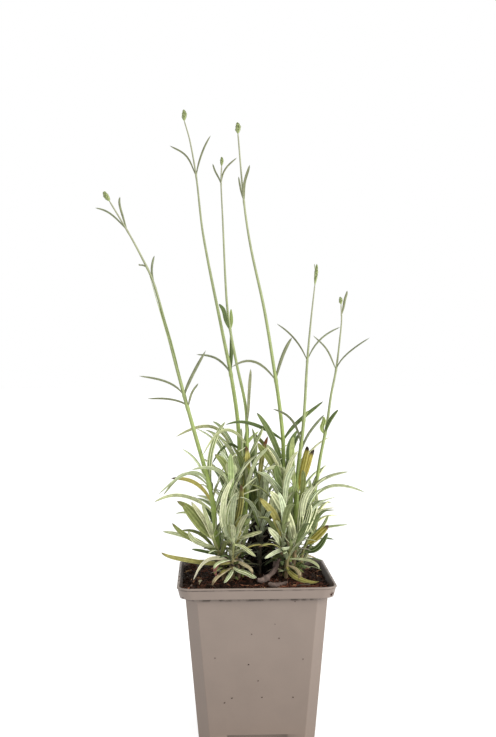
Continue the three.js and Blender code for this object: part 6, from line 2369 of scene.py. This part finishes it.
def pot_finish(skin: Skin) -> Material:
    """Moulded polypropylene: taupe, slightly uneven, with soil and painted shade in the mouth and at the
    band, dust below, and painted shade darkening its lower part.

    Args:
        skin: The finish's values.

    Returns:
        The material.
    """
    stains = PotStainsAndShade()
    graph, mottle, fine = surface_nodes(skin)
    place = graph.add("TexCoord", {}, output="Object")
    z = graph.add("SeparateXYZ", {0: place}, output="Z")
    soil = graph.painted("tip")
    blotch = graph.noise(place, stains.blotch_scale, 5.0)
    height = graph.math("MULTIPLY_ADD", z, stains.wet_scale, blotch)
    # The inner wall's soil stain, which also stands for painted shade.
    soiled_and_shaded = graph.math("MULTIPLY", graph.step(height, *stains.wet), soil.node.outputs["Alpha"])
    colour = graph.mixed(soiled_and_shaded, graph.painted("tint"), soil)
    dirt_and_shade = graph.step(blotch, *stains.blotch)
    dirt_and_shade = graph.math("MULTIPLY_ADD", dirt_and_shade, 1 - stains.line_least, stains.line_least)
    # Dark lines of soil and painted shade at the band's foot and at the lip.
    for low, top, end, strength in stains.lines:
        falling = graph.step(z, end, end - stains.line_edge)
        line = graph.math("MULTIPLY", graph.step(z, low, top), falling)
        line = graph.math("MULTIPLY", graph.math("MULTIPLY", line, dirt_and_shade), strength)
        colour = graph.mixed(line, colour, soil)
    smear = graph.math("MULTIPLY", graph.step(z, stains.dust_height, 0.0), fine)
    smear = graph.math("MULTIPLY", smear, stains.dust_strength)
    colour = graph.mixed(smear, colour, stains.dust)
    # Painted shade: the pot darkens smoothly towards its foot.
    low = graph.step(z, stains.painted_shade_height, 0.0)
    colour = graph.mixed(1.0, colour, graph.mixed(low, (1, 1, 1, 1), stains.painted_shade), "MULTIPLY")
    return graph.finished(colour, mottle)


class Finish(Enum):
    """The finishes of all pieces."""

    # The down on a lavender leaf spreads the light, so it looks matt and greyish.
    LEAF = Skin("Lavender leaf", 0.66, 1.42, 0.06, 0.35, 0.05, 0.2, 2.6, shine=0.3)
    # A green stem is waxier than a leaf and shows fine ridges.
    STEM = Skin("Green stem", 0.52, 1.45, 0.05, 0.3, 0.04, 0.12, 4.0)
    # The closed spike's scales are downy at their edges.
    BUD = Skin("Flower bud", 0.68, 1.42, 0.1, 0.3, 0.05, 0.15, 1.0, shine=0.3)
    # Old bark is rough and dull.
    BARK = Skin("Lavender bark", 0.88, 1.5, 0.0, 0.5, 0.18, 0.35, 2.2, shine=0.2)
    # Damp peat is nearly black, with a dull gleam where it is wet.
    COMPOST = Skin("Damp peat compost", 0.82, 1.4, 0.0, 0.35, 0.18, 0.4, 3.0, 0.15, 0.15)
    # Coir and splinters are dry.
    FIBRE = Skin("Coir fibre and wood", 0.8, 1.5, 0.0, 0.3, 0.05, 0.25, 2.0, shine=0.2)
    # Moulded polypropylene has a fine satin grain that softens its reflections.
    POT = Skin("Moulded polypropylene", 0.46, 1.49, 0.0, 0.45, 0.02, 0.035, 14.0, 0.05)


def hang(name: str, data: bpy.types.ID, axes: tuple[Array, Array, Array], at: Array) -> Piece:
    """Puts a camera or a lamp in the scene, with its right, up and backward directions and its place."""
    thing = bpy.data.objects.new(name, data)
    thing.matrix_world = Matrix([*np.column_stack([*axes, at]).tolist(), [0, 0, 0, 1]])
    bpy.context.scene.collection.objects.link(thing)
    return thing


@dataclass(frozen=True)
class Studio:
    """The white studio: camera, floor and lights. Sizes in metres, angles in radians."""

    eye: Triple = (-0.0287, -0.6752, 0.2221)
    yaw: float = 0.0379
    pitch: float = 0.0160
    roll: float = -0.0046
    lens: float = 55.76
    floor_reach: float = 6
    floor_white: float = 0.4
    floor_glow: float = 0.75
    sky: float = 1.0
    key_at: Triple = (0.86, -0.64, 0.62)
    key_target: Triple = (0, 0, 0.12)
    key_size: float = 0.6
    key_power: float = 11.4
    key_colour: Triple = (1, 0.975, 0.94)

    def aim_camera(self) -> None:
        """Sets the camera at the photo's eye point."""
        level = np.array([math.sin(self.yaw), math.cos(self.yaw), 0])
        beside = np.array([math.cos(self.yaw), -math.sin(self.yaw), 0])
        ahead = level * math.cos(self.pitch) - UP * math.sin(self.pitch)
        above = UP * math.cos(self.pitch) + level * math.sin(self.pitch)
        right = beside * math.cos(self.roll) + above * math.sin(self.roll)
        up = above * math.cos(self.roll) - beside * math.sin(self.roll)
        data = bpy.data.cameras.new("camera")
        data.lens = self.lens
        data.sensor_width = 36
        bpy.context.scene.camera = hang("camera", data, (right, up, -ahead), np.array(self.eye))

    def lay_floor(self) -> None:
        """A white floor that runs far past the picture."""
        graph = Graph("White studio floor")
        white = (self.floor_white, self.floor_white, self.floor_white, 1)
        glow = {"Emission Color": (1, 1, 1, 1), "Emission Strength": self.floor_glow}
        graph.feed(graph.shader, {"Base Color": white, "Roughness": 0.9, "IOR": 1.4, **glow})
        mesh = bpy.data.meshes.new("floor")
        r = self.floor_reach
        mesh.from_pydata([(-r, -r, 0), (r, -r, 0), (r, r, 0), (-r, r, 0)], [], [(0, 1, 2, 3)])
        mesh.materials.append(graph.material)
        floor = bpy.data.objects.new("floor", mesh)
        bpy.context.scene.collection.objects.link(floor)

    def light(self) -> None:
        """Hangs the key light, a square lamp that faces the plant."""
        data = bpy.data.lights.new("key", "AREA")
        data.size = self.key_size
        data.energy = self.key_power
        data.color = self.key_colour
        at = np.array(self.key_at)
        backward = unit(at - np.array(self.key_target))
        right = unit(np.cross(UP, backward))
        lamp = hang("key", data, (right, np.cross(backward, right), backward), at)

    def build(self) -> None:
        """Sets up the whole studio."""
        scene = bpy.context.scene
        scene.view_settings.view_transform = "Standard"
        scene.world = bpy.data.worlds.new("studio")
        scene.world.use_nodes = True
        background = scene.world.node_tree.nodes["Background"]
        background.inputs["Color"].default_value = (1, 1, 1, 1)
        background.inputs["Strength"].default_value = self.sky
        self.aim_camera()
        self.lay_floor()
        self.light()


def make_finishes() -> dict[Finish, Material]:
    """The material of every finish."""
    streaks = {Finish.STEM: 0.5, Finish.BARK: 0.4, Finish.FIBRE: 0.3, Finish.COMPOST: 0}
    finishes = {finish: leaf_finish(finish.value) for finish in (Finish.LEAF, Finish.BUD)}
    finishes |= {finish: tinted_finish(finish.value, strength) for finish, strength in streaks.items()}
    finishes[Finish.POT] = pot_finish(Finish.POT.value)
    return finishes


def settle_stems(foliage: Foliage, finishes: dict[Finish, Material]) -> None:
    """Makes the leaves, the stem or old wood, and the spike of every plan."""
    for line, placed, pairs in zip(foliage.lines, foliage.heroes, foliage.pairs):
        plan = line.plan
        heroes = placed + [foliage.hero(line, leaf, 0) for leaf in MORE_LEAVES.get(plan.name, ())]
        slot = "old_wood" if plan.core else "green_stem" if plan.flowering else "grey_leaf"
        leaves = make_leaves(foliage, line, heroes, pairs)
        settle(leaves.build(f"{plan.name}_leaves", finishes[Finish.LEAF]), slot, plan.name)
        if plan.core:
            settle(make_heart(plan).build("woody_heart_wood", finishes[Finish.BARK]), slot, plan.name)
            continue
        roots = np.array([blade.root[0] for blade in (*heroes, *pairs)])
        settle(make_stem(line, roots).build(f"{plan.name}_stem", finishes[Finish.STEM]), slot, plan.name)
        if plan.flowering:
            spike = plan.name.replace("stalk", "spike")
            settle(make_spike(line).build(f"{spike}_bud", finishes[Finish.BUD]), "flower_bud", spike)


def main() -> None:
    """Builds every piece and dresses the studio."""
    logging.basicConfig(level=logging.INFO, format="%(name)s: %(message)s")
    finishes = make_finishes()
    earth, fibre = finishes[Finish.COMPOST], finishes[Finish.FIBRE]
    settle(PotSkin().build(finishes[Finish.POT]), "pot", "pot")
    settle(make_specks().build("soil_specks", earth), "pot")
    for name, make, finish in (
        ("compost_bed", make_compost, earth),
        ("compost_crumbs", make_crumbs, earth),
        ("compost_fibres", make_fibres, fibre),
        ("compost_chips", make_chips, fibre),
    ):
        settle(make().build(name, finish), "compost", "compost")
    # The dry leaves on the compost fell from the old wood, so they belong to its node.
    settle(make_scraps().build("fallen_leaves", finishes[Finish.LEAF]), "old_wood", "woody_heart")
    settle_stems(Foliage(STEMS), finishes)
    for twig in TWIGS:
        settle(make_twig(twig).build(f"{twig.name}_bark", finishes[Finish.BARK]), "old_wood", twig.name)
    Studio().build()


if __name__ == "__main__":
    main()
